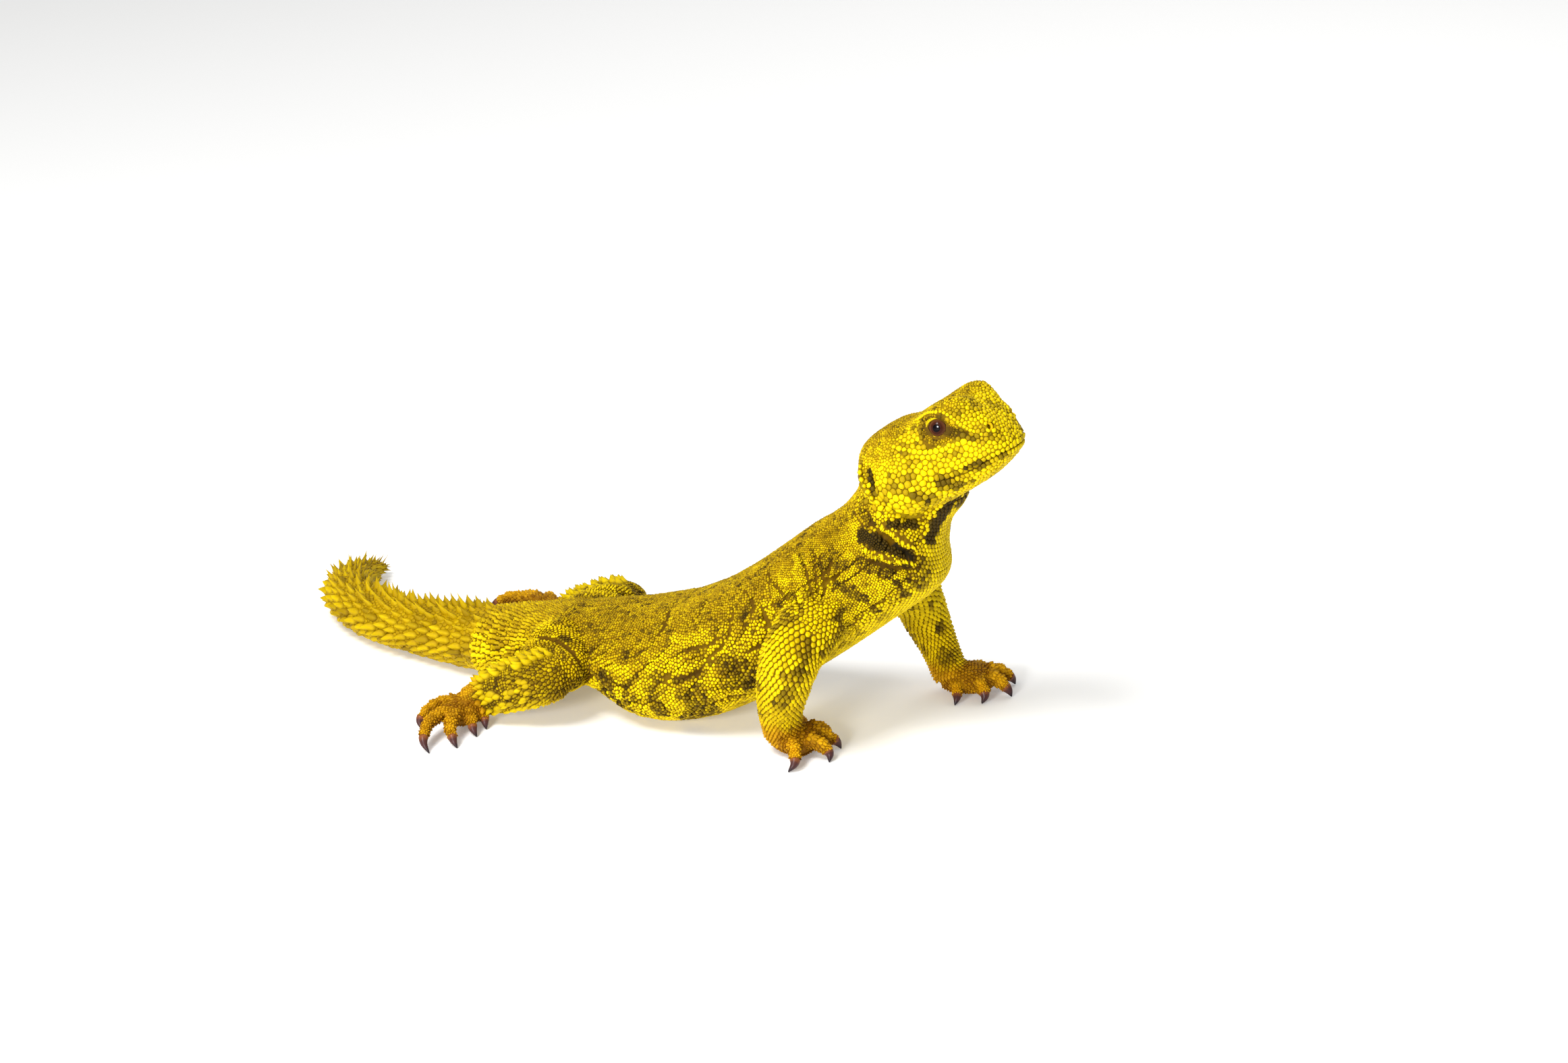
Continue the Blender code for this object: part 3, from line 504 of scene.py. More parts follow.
def path_form(name: str, part: Part, knots: Sequence, grow: float, steps: int, count: int,
              up: tuple = (0.0, 0.0, 1.0), knuckle: float = 0.0) -> Form:
    """A limb, toe or tail as a form.

    Args:
        name: the form's name.
        part: its part of the body.
        knots: its cross-sections.
        grow: how far it is grown, or drawn in where this is below zero.
        steps: steps from each knot to the next.
        count: points round each ring.
        up: the direction that its rings' tops turn to.
        knuckle: how far it swells at each of its knuckles.

    Returns:
        The form.
    """
    rows = catmull(knots, steps)
    ahead = np.gradient(rows[:, :3], axis=0)
    swell = knuckle * (np.abs(np.sin(np.pi * distances(rows[:, :3]) / KNUCKLE_PITCH)) - 0.5)
    made = []
    for row, along, more in zip(rows, ahead, swell):
        side = unit(np.cross(along, up))
        high = unit(np.cross(side, along))
        half, tall = row[3] + grow + more, row[4] + grow + more
        made.append(oval(row[:3], side, high, half, tall, tall, 2.0, count))
    return Form(name, part, np.array(made))


def head_form(grow: float, steps: int, count: int) -> Form:
    """The head with its brows, cheeks and other swellings as a form."""
    bumps = PAIRED_BUMPS + tuple(bump._replace(y=-bump.y) for bump in PAIRED_BUMPS) + (CROWN_DIP,)
    made = []
    for row in catmull(HEAD, steps):
        cut = Slice(*row)
        tall = cut.top - cut.bottom
        centre = np.array([cut.x, 0.0, cut.bottom + tall * cut.widest])
        top, bottom = tall * (1 - cut.widest), tall * cut.widest
        ring = oval(centre, np.array([0, 1, 0]), np.array([0, 0, 1]), cut.half_width, top, bottom,
                    cut.square, count)
        outward = unit(ring - centre)
        rise = np.full(count, grow)
        for bump in bumps:
            away = (ring - bump[:3]) / bump[3:6]
            rise += bump.height * np.exp(-0.5 * (away**2).sum(axis=1))
        made.append(from_head(ring + outward * rise[:, None]))
    return Form("head", Part.HEAD, np.array(made))


def claw_bend(digit: Digit) -> tuple[Array, Array, Array]:
    """A claw's root, the middle of its curve and its tip."""
    end, tip = np.array(digit.joints[-1]), np.array(digit.claw_tip)
    onward = unit(end - np.array(digit.joints[-2])) * np.linalg.norm(tip - end) * CLAW_REACH
    return end, 0.5 * (end + onward) + 0.25 * (end + tip), tip


def digit_knots(digit: Digit) -> list:
    """A toe's cross-sections, from inside the palm to the claw's root."""
    half = digit.half_width
    swell = np.linspace(half + 0.5, half - 0.35, len(digit.joints))
    knots = [Knot(*joint, size, size) for joint, size in zip(digit.joints, swell)]
    end, middle, _ = claw_bend(digit)
    knots.append(Knot(*(0.45 * end + 0.55 * middle), half * CLAW_SLIM, half * CLAW_SLIM))
    return knots


def select_only(made: Piece) -> None:
    """Leave this object alone selected and active."""
    bpy.ops.object.select_all(action="DESELECT")
    made.select_set(True)
    bpy.context.view_layer.objects.active = made


def apply_modifier(made: Piece, kind: str, **settings) -> None:
    """Give an object one modifier with these settings and apply it."""
    select_only(made)
    modifier = made.modifiers.new(kind.lower(), kind)
    for name, value in settings.items():
        setattr(modifier, name, value)
    bpy.ops.object.modifier_apply(modifier=modifier.name)


def primitive(name: str, add: Callable, **settings) -> Piece:
    """Add one of Blender's primitives under this name, with nothing else selected."""
    bpy.ops.object.select_all(action="DESELECT")
    add(**settings)
    made = bpy.context.active_object
    made.name = name
    return made


def face_outwards(made: Piece) -> Piece:
    """Turn all the faces of a mesh outwards."""
    select_only(made)
    bpy.ops.object.mode_set(mode="EDIT")
    bpy.ops.mesh.select_all(action="SELECT")
    bpy.ops.mesh.normals_make_consistent(inside=False)
    bpy.ops.object.mode_set(mode="OBJECT")
    return made


def finish_piece(made: Piece, paint: Paint, **numbers: Array) -> Piece:
    """Shade a piece smoothly in this finish, with three numbers for each vertex kept under each name."""
    made.data.polygons.foreach_set("use_smooth", np.ones(len(made.data.polygons), bool))
    for name, values in numbers.items():
        kept = made.data.attributes.new(name, "FLOAT_VECTOR", "POINT")
        kept.data.foreach_set("vector", np.asarray(values, np.float32).ravel())
    made.data.materials.append(paint)
    return made


def looks(rise: Array, tone: float) -> Array:
    """The numbers of a piece with no tips: how far it is lifted out of the painted shade of the gaps, and one tone all
    over.
    """
    return np.stack([rise, np.full(len(rise), tone), np.zeros(len(rise))], axis=1)


def tube(name: str, rings: Array) -> Piece:
    """A closed mesh wrapped from a flat grid round rings of points in millimetres."""
    length, count = rings.shape[:2]
    made = primitive(name, bpy.ops.mesh.primitive_grid_add, x_subdivisions=count, y_subdivisions=length - 1, size=2.0)
    flat = vertex_places(made) * MM
    around = np.rint((flat[:, 0] + 1) / 2 * count).astype(int) % count
    along = np.rint((flat[:, 1] + 1) / 2 * (length - 1)).astype(int)
    place_vertices(made, rings[along, around])
    select_only(made)
    bpy.ops.object.mode_set(mode="EDIT")
    bpy.ops.mesh.select_all(action="SELECT")
    bpy.ops.mesh.remove_doubles(threshold=1e-7)
    bpy.ops.mesh.select_all(action="DESELECT")
    bpy.ops.mesh.select_mode(type="EDGE")
    bpy.ops.mesh.select_non_manifold()
    bpy.ops.mesh.fill_holes(sides=0)
    bpy.ops.object.mode_set(mode="OBJECT")
    return face_outwards(made)


def vertex_places(made: Piece) -> Array:
    """A mesh's vertices, in millimetres."""
    flat = np.empty(len(made.data.vertices) * 3)
    made.data.vertices.foreach_get("co", flat)
    return flat.reshape(-1, 3) / MM


def vertex_normals(made: Piece) -> Array:
    """The directions that a mesh's surface faces at its vertices."""
    flat = np.empty(len(made.data.vertices) * 3, np.float32)
    made.data.vertex_normals.foreach_get("vector", flat)
    return flat.reshape(-1, 3).astype(float)


def place_vertices(made: Piece, places: Array) -> None:
    """Move a mesh's vertices to these places in millimetres."""
    made.data.vertices.foreach_set("co", (places * MM).ravel())
    made.data.update()


def nearest(tree: BVHTree, places: Array) -> tuple[Array, Array]:
    """The nearest point of a surface to each place, and how far off it is, in millimetres."""
    hits = [tree.find_nearest(Vector(place * MM)) for place in places]
    return np.array([tuple(hit[0]) for hit in hits]).reshape(-1, 3) / MM, np.array([hit[3] for hit in hits]) / MM


def land(tree: BVHTree, places: Array, reach: float = 4.0) -> Array:
    """Move places to the nearest of a surface, and leave those further off it than reach."""
    spots, away = nearest(tree, places)
    return np.where((away < reach)[:, None], spots, places)


@dataclass(frozen=True)
class Fold:
    """A crease or a raised welt of the skin along a line of points in the world."""

    points: tuple
    width: float
    depth: float

    def laid(self, tree: BVHTree, side: int) -> "Fold":
        """The same fold set down on the skin, on the right side for 1 or on the left for -1."""
        line = catmull(self.points, 4) * (1, side, 1)
        return Fold(tuple(tuple(row) for row in land(tree, line)), self.width, self.depth)

    def away(self, places: Array) -> tuple[Array, Array]:
        """How far places are from the line, and how much of the fold is left there, less at its ends."""
        line = np.array(self.points)
        best = np.full(len(places), np.inf)
        along = np.zeros(len(places))
        for i, (a, b) in enumerate(zip(line[:-1], line[1:])):
            t, gap = from_run(places, a, b)
            nearer = gap < best
            best[nearer] = gap[nearer]
            along[nearer] = ((i + t) / (len(line) - 1))[nearer]
        return best, np.sin(np.pi * np.clip(along, 0.04, 0.96)) ** 0.5

    def closeness(self, places: Array, spread: float = 1.0) -> Array:
        """How near places are to the line, as 1 on it, for a line of this much of its width."""
        gap, left = self.away(places)
        return left * np.exp(-((gap / (self.width * spread)) ** 2))

    def opening(self, places: Array) -> Array:
        """How far inside the crease's opening places are: above a half, no scale grows."""
        gap, left = self.away(places)
        return left * np.clip(1.0 - gap / (0.85 + 0.2 * self.width), 0.0, 1.0)


def head_line(points: Sequence, side: int = 1) -> tuple:
    """A line of the head's left half as points of the world, there for 1 or on the right for -1."""
    return tuple(tuple(row) for row in from_head([on_side(point, side) for point in points]))


# Creases across the body's right side, each the same on its left
BODY_CREASES = (
    Fold(((65.1, -13.8, 69.4), (67.8, -13, 66.1), (71.6, -12.1, 64.4), (75.1, -10.4, 64.3), (79, -9.9, 67.6)),
         1.5, 1.6),
    Fold(((63.6, -13.0, 60.6), (67.5, -13.8, 58.6), (71.6, -12.6, 56.0), (74.3, -10.6, 53.8)), 1.4, 1.5),
    Fold(((60.4, -15.0, 53.6), (65.0, -15.2, 52.8), (69, -14.8, 51.8), (73.7, -12.2, 50.6)), 1.2, 1.2),
    Fold(((42.5, -17.1, 42.5), (45.4, -20.3, 41.8), (47.6, -22.9, 40.8)), 0.75, 1.3),
    Fold(((42.5, -9.0, 50.5), (46.2, -15.3, 47.5), (47.9, -16.8, 43.9), (51.0, -21.2, 41.8)), 0.6, 1.2),
    Fold(((46.0, -9.5, 53.0), (48.0, -14.3, 50.3), (49.1, -16.6, 46.1), (51.1, -19.9, 42.5)), 0.6, 1.3),
    Fold(((49.0, -12.5, 52.5), (50.4, -15.8, 49.0), (51.3, -17.2, 45.0), (51.9, -19.6, 42.4)), 0.55, 1.3),
    Fold(((53.0, -14.0, 52.5), (52.3, -15.8, 49.6), (51.9, -16.8, 46.6), (52.0, -17.9, 43.3)), 0.6, 1.3),
    Fold(((55.1, -16.6, 48.4), (53.4, -16.9, 46.8), (52.5, -17.3, 43.5)), 0.8, 1.4),
    Fold(((26.5, -15.8, 35.5), (26.9, -19.3, 32.2), (26.8, -21.3, 29.2), (24.0, -22.9, 25.4), (21.3, -24.2, 22.2)),
         0.8, 1.1),
    Fold(((34.2, -17.4, 38.1), (37.0, -20.0, 33.9), (37.2, -21.5, 30.0), (34.5, -21.6, 27.2), (29.9, -22.7, 25.1)),
         1.0, 1.2),
    Fold(((34.5, -11.5, 43.5), (40.0, -16.5, 41.6), (45.5, -21.5, 40.2)), 0.8, 1.1),
    Fold(((14.2, -17.1, 28.7), (16.5, -13.6, 31.5), (15.7, -6.9, 33.3)), 0.8, 0.6),
    Fold(((4.2, -20.8, 22.9), (6.7, -15.2, 26.9), (4.7, -5.5, 29.0)), 0.8, 0.5),
    Fold(((28.0, -12.0, 39.0), (32.0, -17.0, 37.7), (32.5, -19.6, 34.0)), 0.7, 0.7),
    Fold(((5.5, -25.1, 16.7), (17.4, -25.2, 18.5), (25.5, -23.1, 25)), 1.6, 0.9),
    Fold(((22.2, -23.3, 10.5), (27.6, -20.4, 11.1), (32.9, -17.1, 12.5)), 1.4, 0.8),
    Fold(((12.0, -25.5, 24.5), (20.5, -23.5, 27.0), (28.5, -21.0, 31.5)), 1.2, 0.5),
    Fold(((-33.3, -13.6, 17.8), (-27.9, -17.6, 20.9), (-20.5, -21.0, 21.3), (-14.5, -22.5, 17.5), (-12.8, -20.8, 11)),
         1.6, 2.0),
)
BODY_WELTS = (
    Fold(((64.6, -13.3, 63.2), (68.8, -13.5, 60.8), (72.5, -12.4, 58.0), (74.3, -11.1, 56.0)), 1.1, -1.5),
    Fold(((61.2, -15.1, 56.1), (65.4, -15.3, 55.2), (69, -15, 54.1), (73.7, -12.4, 52.9)), 1.0, -1.3),
)

# The mouth's line, and the creases and raised welts of the head's left side in its own frame
MOUTH_LINE = (
    (13.1, 0.0, -12.4), (12.9, 3.0, -12.3), (11.4, 6.0, -12.2), (8.6, 8.2, -12.4), (4.5, 9.6, -12.5),
    (-0.4, 10.8, -12.6), (-5.1, 12.0, -11.6), (-8.4, 13.2, -10.2),
)
HEAD_FOLDS = (
    Fold(((-12.9, 12.4, -1.4), (-7.5, 12.3, -4.6), (-0.7, 10.9, -7.7)), 0.8, 0.5),
    Fold(((-9.5, 11.2, 1.6), (-6.6, 10.9, -2.4), (-2.0, 10.6, -3.6), (3.0, 9.6, -2.9)), 0.6, 0.45),
    Fold(((-22.0, 13.2, -2.3), (-22.9, 13.8, -4.9), (-23.6, 13.8, -7.7)), 1.0, 2.0),
    Fold(((-5.5, 9.6, 3.6), (-0.8, 9.8, 3.5), (2.6, 9.5, 0.9), (4.6, 8.8, -2.4), (7.4, 8.0, -5.2)), 0.7, 0.5),
    Fold(((-25.2, 11.8, 0.4), (-26.9, 12.0, -4.6), (-26.6, 12.6, -8.9)), 1.3, -0.9),
    Fold(((-7.5, 7.0, 5.4), (-1.1, 8.8, 4.9), (3.3, 8.9, 2.8), (6.0, 8.3, -1.0), (8.4, 7.8, -4.6)), 0.9, -0.85),
    Fold(MOUTH_LINE, 0.55, 0.65),
)
NOSTRIL_AT = (11.7, 5.5, -4.8)

# Where limbs, tail and head run into the body, and how far the skin is eased there
JOINS = (
    ((49, -13, 38), 13.0),
    ((54, 14, 38), 13.0),
    ((-25, -14, 15), 12.0),
    ((-27, 15, 15), 12.0),
    ((-49, 1, 10), 12.0),
    ((64, -2, 84), 10.0),
    ((76, -2, 68), 8.0),
    ((-17, -25, 12), 6.0),
    ((-21, 28, 14), 6.0),
    ((43.4, -21, 6), 5.0),
    ((70, 32, 6), 5.0),
    ((-41, -32, 5), 5.0),
    ((-46, 40, 5), 5.0),
)


@dataclass(frozen=True)
class EyePlace:
    """Where one eye sits in the world: its ball's middle and its opening's own directions."""

    side: int

    @property
    def centre(self) -> Array:
        """The middle of the eyeball."""
        return from_head(on_side(EYE_AT, self.side))

    @property
    def axes(self) -> Array:
        """The eye's outward, forward and upward directions, one a row."""
        out = unit(np.array([0.22, 1.0 * self.side, 0.12]))
        ahead = np.array([math.cos(EYE_TILT), 0.0, math.sin(EYE_TILT)])
        ahead = unit(ahead - out * (ahead @ out))
        up = np.cross(ahead, out) * -self.side
        return np.array([out, ahead, up if up[2] > 0 else -up]) @ head_axes()

    def near(self, places: Array, reach: float) -> Array:
        """Which places lie this near to the eyeball."""
        return np.linalg.norm(places - self.centre, axis=1) < EYE_RADIUS + reach

    def reach(self, places: Array) -> Array:
        """How far out from the opening's middle places lie, as 1 at its rim."""
        local = (places - self.centre) @ self.axes.T / EYE_RADIUS
        wide, tall = np.abs(local[:, 1] / EYE_WIDE), np.abs(local[:, 2] / EYE_TALL)
        return np.where(local[:, 0] > 0, (wide**EYE_ALMOND + tall**EYE_ALMOND) ** (1 / EYE_ALMOND), 9.0)

    def rim(self, turn: Array, span: float, radius: float) -> Array:
        """Points on a ball round the eye, by the angle round the opening, with a span of 1 at its rim."""
        wide = bowed(np.cos(turn), 2 / EYE_ALMOND) * span * EYE_WIDE
        tall = bowed(np.sin(turn), 2 / EYE_ALMOND) * span * EYE_TALL
        out = np.sqrt(np.maximum(1.0 - wide**2 - tall**2, 0.0))
        return self.centre + (np.stack([out, wide, tall], axis=1) @ self.axes) * radius


EYES = (EyePlace(-1), EyePlace(1))


def speckle(places: Array, size: float, seed: int) -> Array:
    """Smooth noise between 0 and 1 for each place, with blotches of about this size in millimetres."""
    spots = places / size + seed * 7.31
    base = np.floor(spots).astype(np.int64)
    ease = spots - base
    ease = ease * ease * (3.0 - 2.0 * ease)
    total = np.zeros(len(places))
    for corner in range(8):
        step = np.array([corner & 1, corner >> 1 & 1, corner >> 2])
        cell = base + step
        mixed = (cell[:, 0] * 73856093) ^ (cell[:, 1] * 19349663) ^ (cell[:, 2] * 83492791) ^ (seed * 2654435)
        mixed = ((mixed ^ (mixed >> 13)) * 1274126177) & 0xFFFFFFFF
        value = ((mixed ^ (mixed >> 16)) & 0xFFFF) / 65535.0
        total += value * np.prod(np.where(step == 1, ease, 1.0 - ease), axis=1)
    return total


def mottle(places: Array, size: float, seed: int) -> Array:
    """Two sizes of noise together, from 0 to 1 and mostly about a half."""
    return 0.65 * speckle(places, size, seed) + 0.35 * speckle(places, size * 0.45, seed + 5)


def slanted(places: Array) -> Array:
    """Places drawn out along the slant of the flanks' wrinkles, so that noise there runs their way."""
    lean = math.radians(42.0)
    ahead = places[:, 0] * math.cos(lean) + places[:, 2] * math.sin(lean)
    above = places[:, 2] * math.cos(lean) - places[:, 0] * math.sin(lean)
    return np.stack([ahead * 0.45, places[:, 1] * 0.8, above * 1.15], axis=1)


def wrinkles(places: Array, up: Array) -> Array:
    """How deep the flanks' wrinkles are at places turned this far towards the back, from 0 to 1."""
    line = 1.0 - np.abs(2.0 * speckle(slanted(places), 3.4, 41) - 1.0)
    flank = smooth_step(0.9, 0.35, up) * smooth_step(-0.85, -0.45, up)
    return smooth_step(0.72, 0.97, line) * (0.25 + 0.75 * flank) * smooth_step(-0.97, -0.85, up)


class Atlas:
    """Says which form a place of the skin belongs to, and how far along and round that form it is."""

    def __init__(self, forms: Sequence[Form]) -> None:
        """Gather the forms' points for searching."""
        self.forms = list(forms)
        points, owner, along, turn = [], [], [], []
        for k, form in enumerate(self.forms):
            length, count = form.rings.shape[:2]
            points.append(form.rings.reshape(-1, 3))
            owner.append(np.full(length * count, k))
            along.append(np.repeat(form.travelled(), count))
            turn.append(np.tile(np.arange(count) * 360.0 / count, length))
        self.owner, self.along, self.turn = (np.concatenate(rows) for rows in (owner, along, turn))
        self.parts = np.array([form.part for form in self.forms])
        self.tree = search_tree(np.vstack(points))

    def find(self, places: Array) -> Array:
        """The nearest of the forms' points to each place, by number."""
        return np.array([self.tree.find(place)[1] for place in places])

    def part(self, found: Array) -> Array:
        """The parts of the body that points belong to."""
        return self.parts[self.owner[found]]


@dataclass
class Skin:
    """The one skin over trunk, neck, head, tail, legs and feet, drawn in by the depth of its scales."""

    inset: float = 0.4
    tail_inset: float = 0.7
    toe_inset: float = 0.4
    palm_inset: float = 0.9
    knuckle: float = 0.75
    voxel: float = 0.5
    triangles: int = 190000
    wrinkle: float = 0.8
    floor_gap: float = 0.05
    fold_margin: float = 5.0
    nostril_pit: tuple = (1.4, 0.75)
    nostril_welt: tuple = (0.35, 1.3, 0.6)
    eye_margin: float = 4.0
    lid_span: float = 1.5
    socket_depth: float = 0.9
    lid_rise: float = 0.25
    forms: list = field(default_factory=list)
    creases: list = field(default_factory=list)
    groove: Array = None
    made: Piece = None
    atlas: Atlas = None
    tree: BVHTree = None
    places: Array = None
    normals: Array = None

    def lay_forms(self) -> None:
        """Make every form that the skin is drawn over."""
        self.forms = [body_form(-self.inset, 6, 64), head_form(-self.inset, 5, 72),
                      path_form("tail", Part.TAIL, TAIL, -self.tail_inset, 8, 40)]
        for name, (part, knots, up) in LIMBS.items():
            self.forms.append(path_form(name, part, knots, -self.inset, 6, 32, up))
        for name, (palm, digits) in FEET.items():
            self.forms.append(path_form(name, Part.PALM, palm, -self.palm_inset, 6, 24))
            for digit in digits:
                self.forms.append(path_form(f"{name}_{digit.name}", Part.TOE, digit_knots(digit), -self.toe_inset,
                                            8, 16, knuckle=self.knuckle))

    def weigh(self, name: str, weights: Array) -> str:
        """Give the skin a vertex group with these weights, and say its name."""
        group = self.made.vertex_groups.new(name=name)
        for k in np.flatnonzero(weights > 0.001):
            group.add([int(k)], float(weights[k]), "REPLACE")
        return name

    def fuse(self) -> None:
        """Join the forms into one closed surface and ease it where they meet."""
        tubes = [tube(form.name, form.rings) for form in self.forms]
        bpy.ops.object.select_all(action="DESELECT")
        for piece in tubes:
            piece.select_set(True)
        bpy.context.view_layer.objects.active = tubes[0]
        bpy.ops.object.join()
        self.made = bpy.context.active_object
        self.made.name = "skin"
        apply_modifier(self.made, "REMESH", mode="VOXEL", voxel_size=self.voxel * MM)
        apply_modifier(self.made, "SMOOTH", factor=0.5, iterations=4)
        places = vertex_places(self.made)
        near = np.zeros(len(places))
        for spot, reach in JOINS:
            away = np.linalg.norm(places - np.array(spot), axis=1) / reach
            near = np.maximum(near, 1.0 - smooth_step(0.55, 1.15, away))
        apply_modifier(self.made, "SMOOTH", factor=0.5, iterations=26, vertex_group=self.weigh("joins", near))
        part = self.atlas.part(self.atlas.find(vertex_places(self.made)))
        coarse = np.where((part == Part.HEAD) | (part >= Part.PALM), 0.0, 1.0)
        faces = sum(len(face.vertices) - 2 for face in self.made.data.polygons)
        apply_modifier(self.made, "DECIMATE", ratio=self.triangles / faces,
                       vertex_group=self.weigh("coarse", coarse))
        self.made.vertex_groups.clear()

    def crease(self) -> None:
        """Press the folds, the mouth's line, the nostrils and the eyes' sockets into the skin."""
        places, normals = vertex_places(self.made), vertex_normals(self.made)
        local = to_head(places)
        tree = BVHTree.FromObject(self.made, bpy.context.evaluated_depsgraph_get())
        sink, self.groove = np.zeros(len(places)), np.zeros(len(places))
        for side in (1, -1):
            creases = [fold.laid(tree, side) for fold in BODY_CREASES]
            welts = [fold.laid(tree, side) for fold in BODY_WELTS]
            face = [Fold(head_line(fold.points, -side), fold.width, fold.depth).laid(tree, 1) for fold in HEAD_FOLDS]
            for k, fold in enumerate(creases + welts + face):
                close = boxed(places, fold.points, self.fold_margin)
                sink[close] += fold.depth * fold.closeness(places[close])
                if k < len(creases):
                    self.groove[close] = np.maximum(self.groove[close], fold.opening(places[close]))
            self.creases += creases
            away = np.linalg.norm(local - on_side(NOSTRIL_AT, side), axis=1)
            (depth, wide), (rise, radius, thick) = self.nostril_pit, self.nostril_welt
            sink += depth * np.exp(-((away / wide) ** 2)) - rise * np.exp(-(((away - radius) / thick) ** 2))
        found = self.atlas.find(places)
        trunk = self.atlas.part(found) == Part.TRUNK
        sink[trunk] += self.wrinkle * wrinkles(places[trunk], np.sin(np.radians(self.atlas.turn[found[trunk]])))
        places = places - normals * sink[:, None]
        for eye in EYES:
            away = np.linalg.norm(places - eye.centre, axis=1)
            span = eye.reach(places)
            close = eye.near(places, self.eye_margin)
            inside = close & (span < 1.0)
            lid = close & (span >= 1.0) & (span < self.lid_span)
            radius = away.copy()
            radius[inside] = np.minimum(away[inside], EYE_RADIUS - self.socket_depth)
            radius[lid] = np.maximum(away[lid], EYE_RADIUS + self.lid_rise)
            outward = unit(places - eye.centre) * radius[:, None]
            places = np.where((inside | lid)[:, None], eye.centre + outward, places)
        places[:, 2] = np.maximum(places[:, 2], self.floor_gap)
        place_vertices(self.made, places)

    def build(self) -> None:
        """Make the skin, fold it, and ready it for the scales."""
        self.lay_forms()
        self.atlas = Atlas(self.forms)
        self.fuse()
        self.crease()
        self.places, self.normals = vertex_places(self.made), vertex_normals(self.made)
        self.tree = BVHTree.FromObject(self.made, bpy.context.evaluated_depsgraph_get())


@dataclass(frozen=True)
class Studio:
    """A pale floor, soft lamps and the camera at the height and bearing of the view.

    Attributes:
        azimuth: the camera's bearing, in degrees.
        elevation: how far it looks down, in degrees.
        lens: its focal length, in millimetres.
        camera_at: where it stands, in metres.
        room_light: how strongly the white room lights it.
        floor_glow: how much the pale floor glows.
        lamps: each lamp's name, place in metres, side in metres and power in watts.
    """

    azimuth: float = 21.0
    elevation: float = 20.0
    lens: float = 85.0
    camera_at: tuple = (0.35810, -0.84368, 0.38086)
    room_light: float = 0.3
    floor_glow: float = 0.2
    lamps: tuple = (("lamp_key", (-0.25, -0.55, 0.95), 0.4, 10.0), ("lamp_front", (-0.02, -0.876, 0.315), 0.19, 5.6),
                    ("lamp_back", (0.1, 0.9, 0.8), 0.9, 4.0))

    def build(self) -> None:
        """Make the floor, the lamps, the world and the camera."""
        floor = primitive("floor", bpy.ops.mesh.primitive_plane_add, size=6.0, location=(0.0, 0.0, 0.0))
        nodes = Nodes("pale_floor")
        nodes.set(Base_Color=(0.93, 0.93, 0.92), Roughness=0.7, Emission_Color=(1.0, 1.0, 1.0),
                  Emission_Strength=self.floor_glow)
        floor.data.materials.append(nodes.material)
        for name, place, size, power in self.lamps:
            lamp = primitive(name, bpy.ops.object.light_add, type="AREA", location=place)
            lamp.data.size = size
            lamp.data.energy = power
            lamp.rotation_euler = (Vector((0.0, 0.0, 0.04)) - lamp.location).to_track_quat("-Z", "Y").to_euler()
        world = bpy.data.worlds.new("white_room")
        bpy.context.scene.world = world
        world.use_nodes = True
        world.node_tree.nodes["Background"].inputs["Color"].default_value = (1.0, 1.0, 1.0, 1.0)
        world.node_tree.nodes["Background"].inputs["Strength"].default_value = self.room_light
        camera = primitive("camera", bpy.ops.object.camera_add, location=self.camera_at)
        camera.rotation_euler = (math.radians(90 - self.elevation), 0.0, math.radians(self.azimuth))
        camera.data.lens = self.lens
        camera.data.sensor_width = 36.0
        bpy.context.scene.camera = camera
        bpy.context.scene.view_settings.view_transform = "Standard"


@dataclass(frozen=True)
class Bar:
    """A dark marking from one place to another: how far it spreads, and from 0.5 for brown to 1 for black."""

    start: tuple
    end: tuple
    half_width: float
    strength: float

    def laid(self, tree: BVHTree, side: int, of_head: bool = False) -> "Bar":
        """The same marking set down on the skin, mirrored for a side of -1, from the head's own frame if of_head."""
        ends = np.array([self.start, self.end]) * (1, side, 1)
        ends = land(tree, from_head(ends) if of_head else ends)
        return Bar(tuple(ends[0]), tuple(ends[1]), self.half_width, self.strength)

    def cover(self, places: Array, wander: Array) -> Array:
        """How strongly the marking covers each place, its edge straying by the given distances."""
        _, gap = from_run(places, np.array(self.start), np.array(self.end))
        edge = smooth_step(self.half_width * 0.75, self.half_width * 1.15, gap + wander)
        return self.strength * (1.0 - edge)


def bars(*rows: tuple) -> tuple:
    """Markings, each given by its start, its end, its half width and its strength in one row."""
    return tuple(Bar(row[:3], row[3:6], *row[6:]) for row in rows)
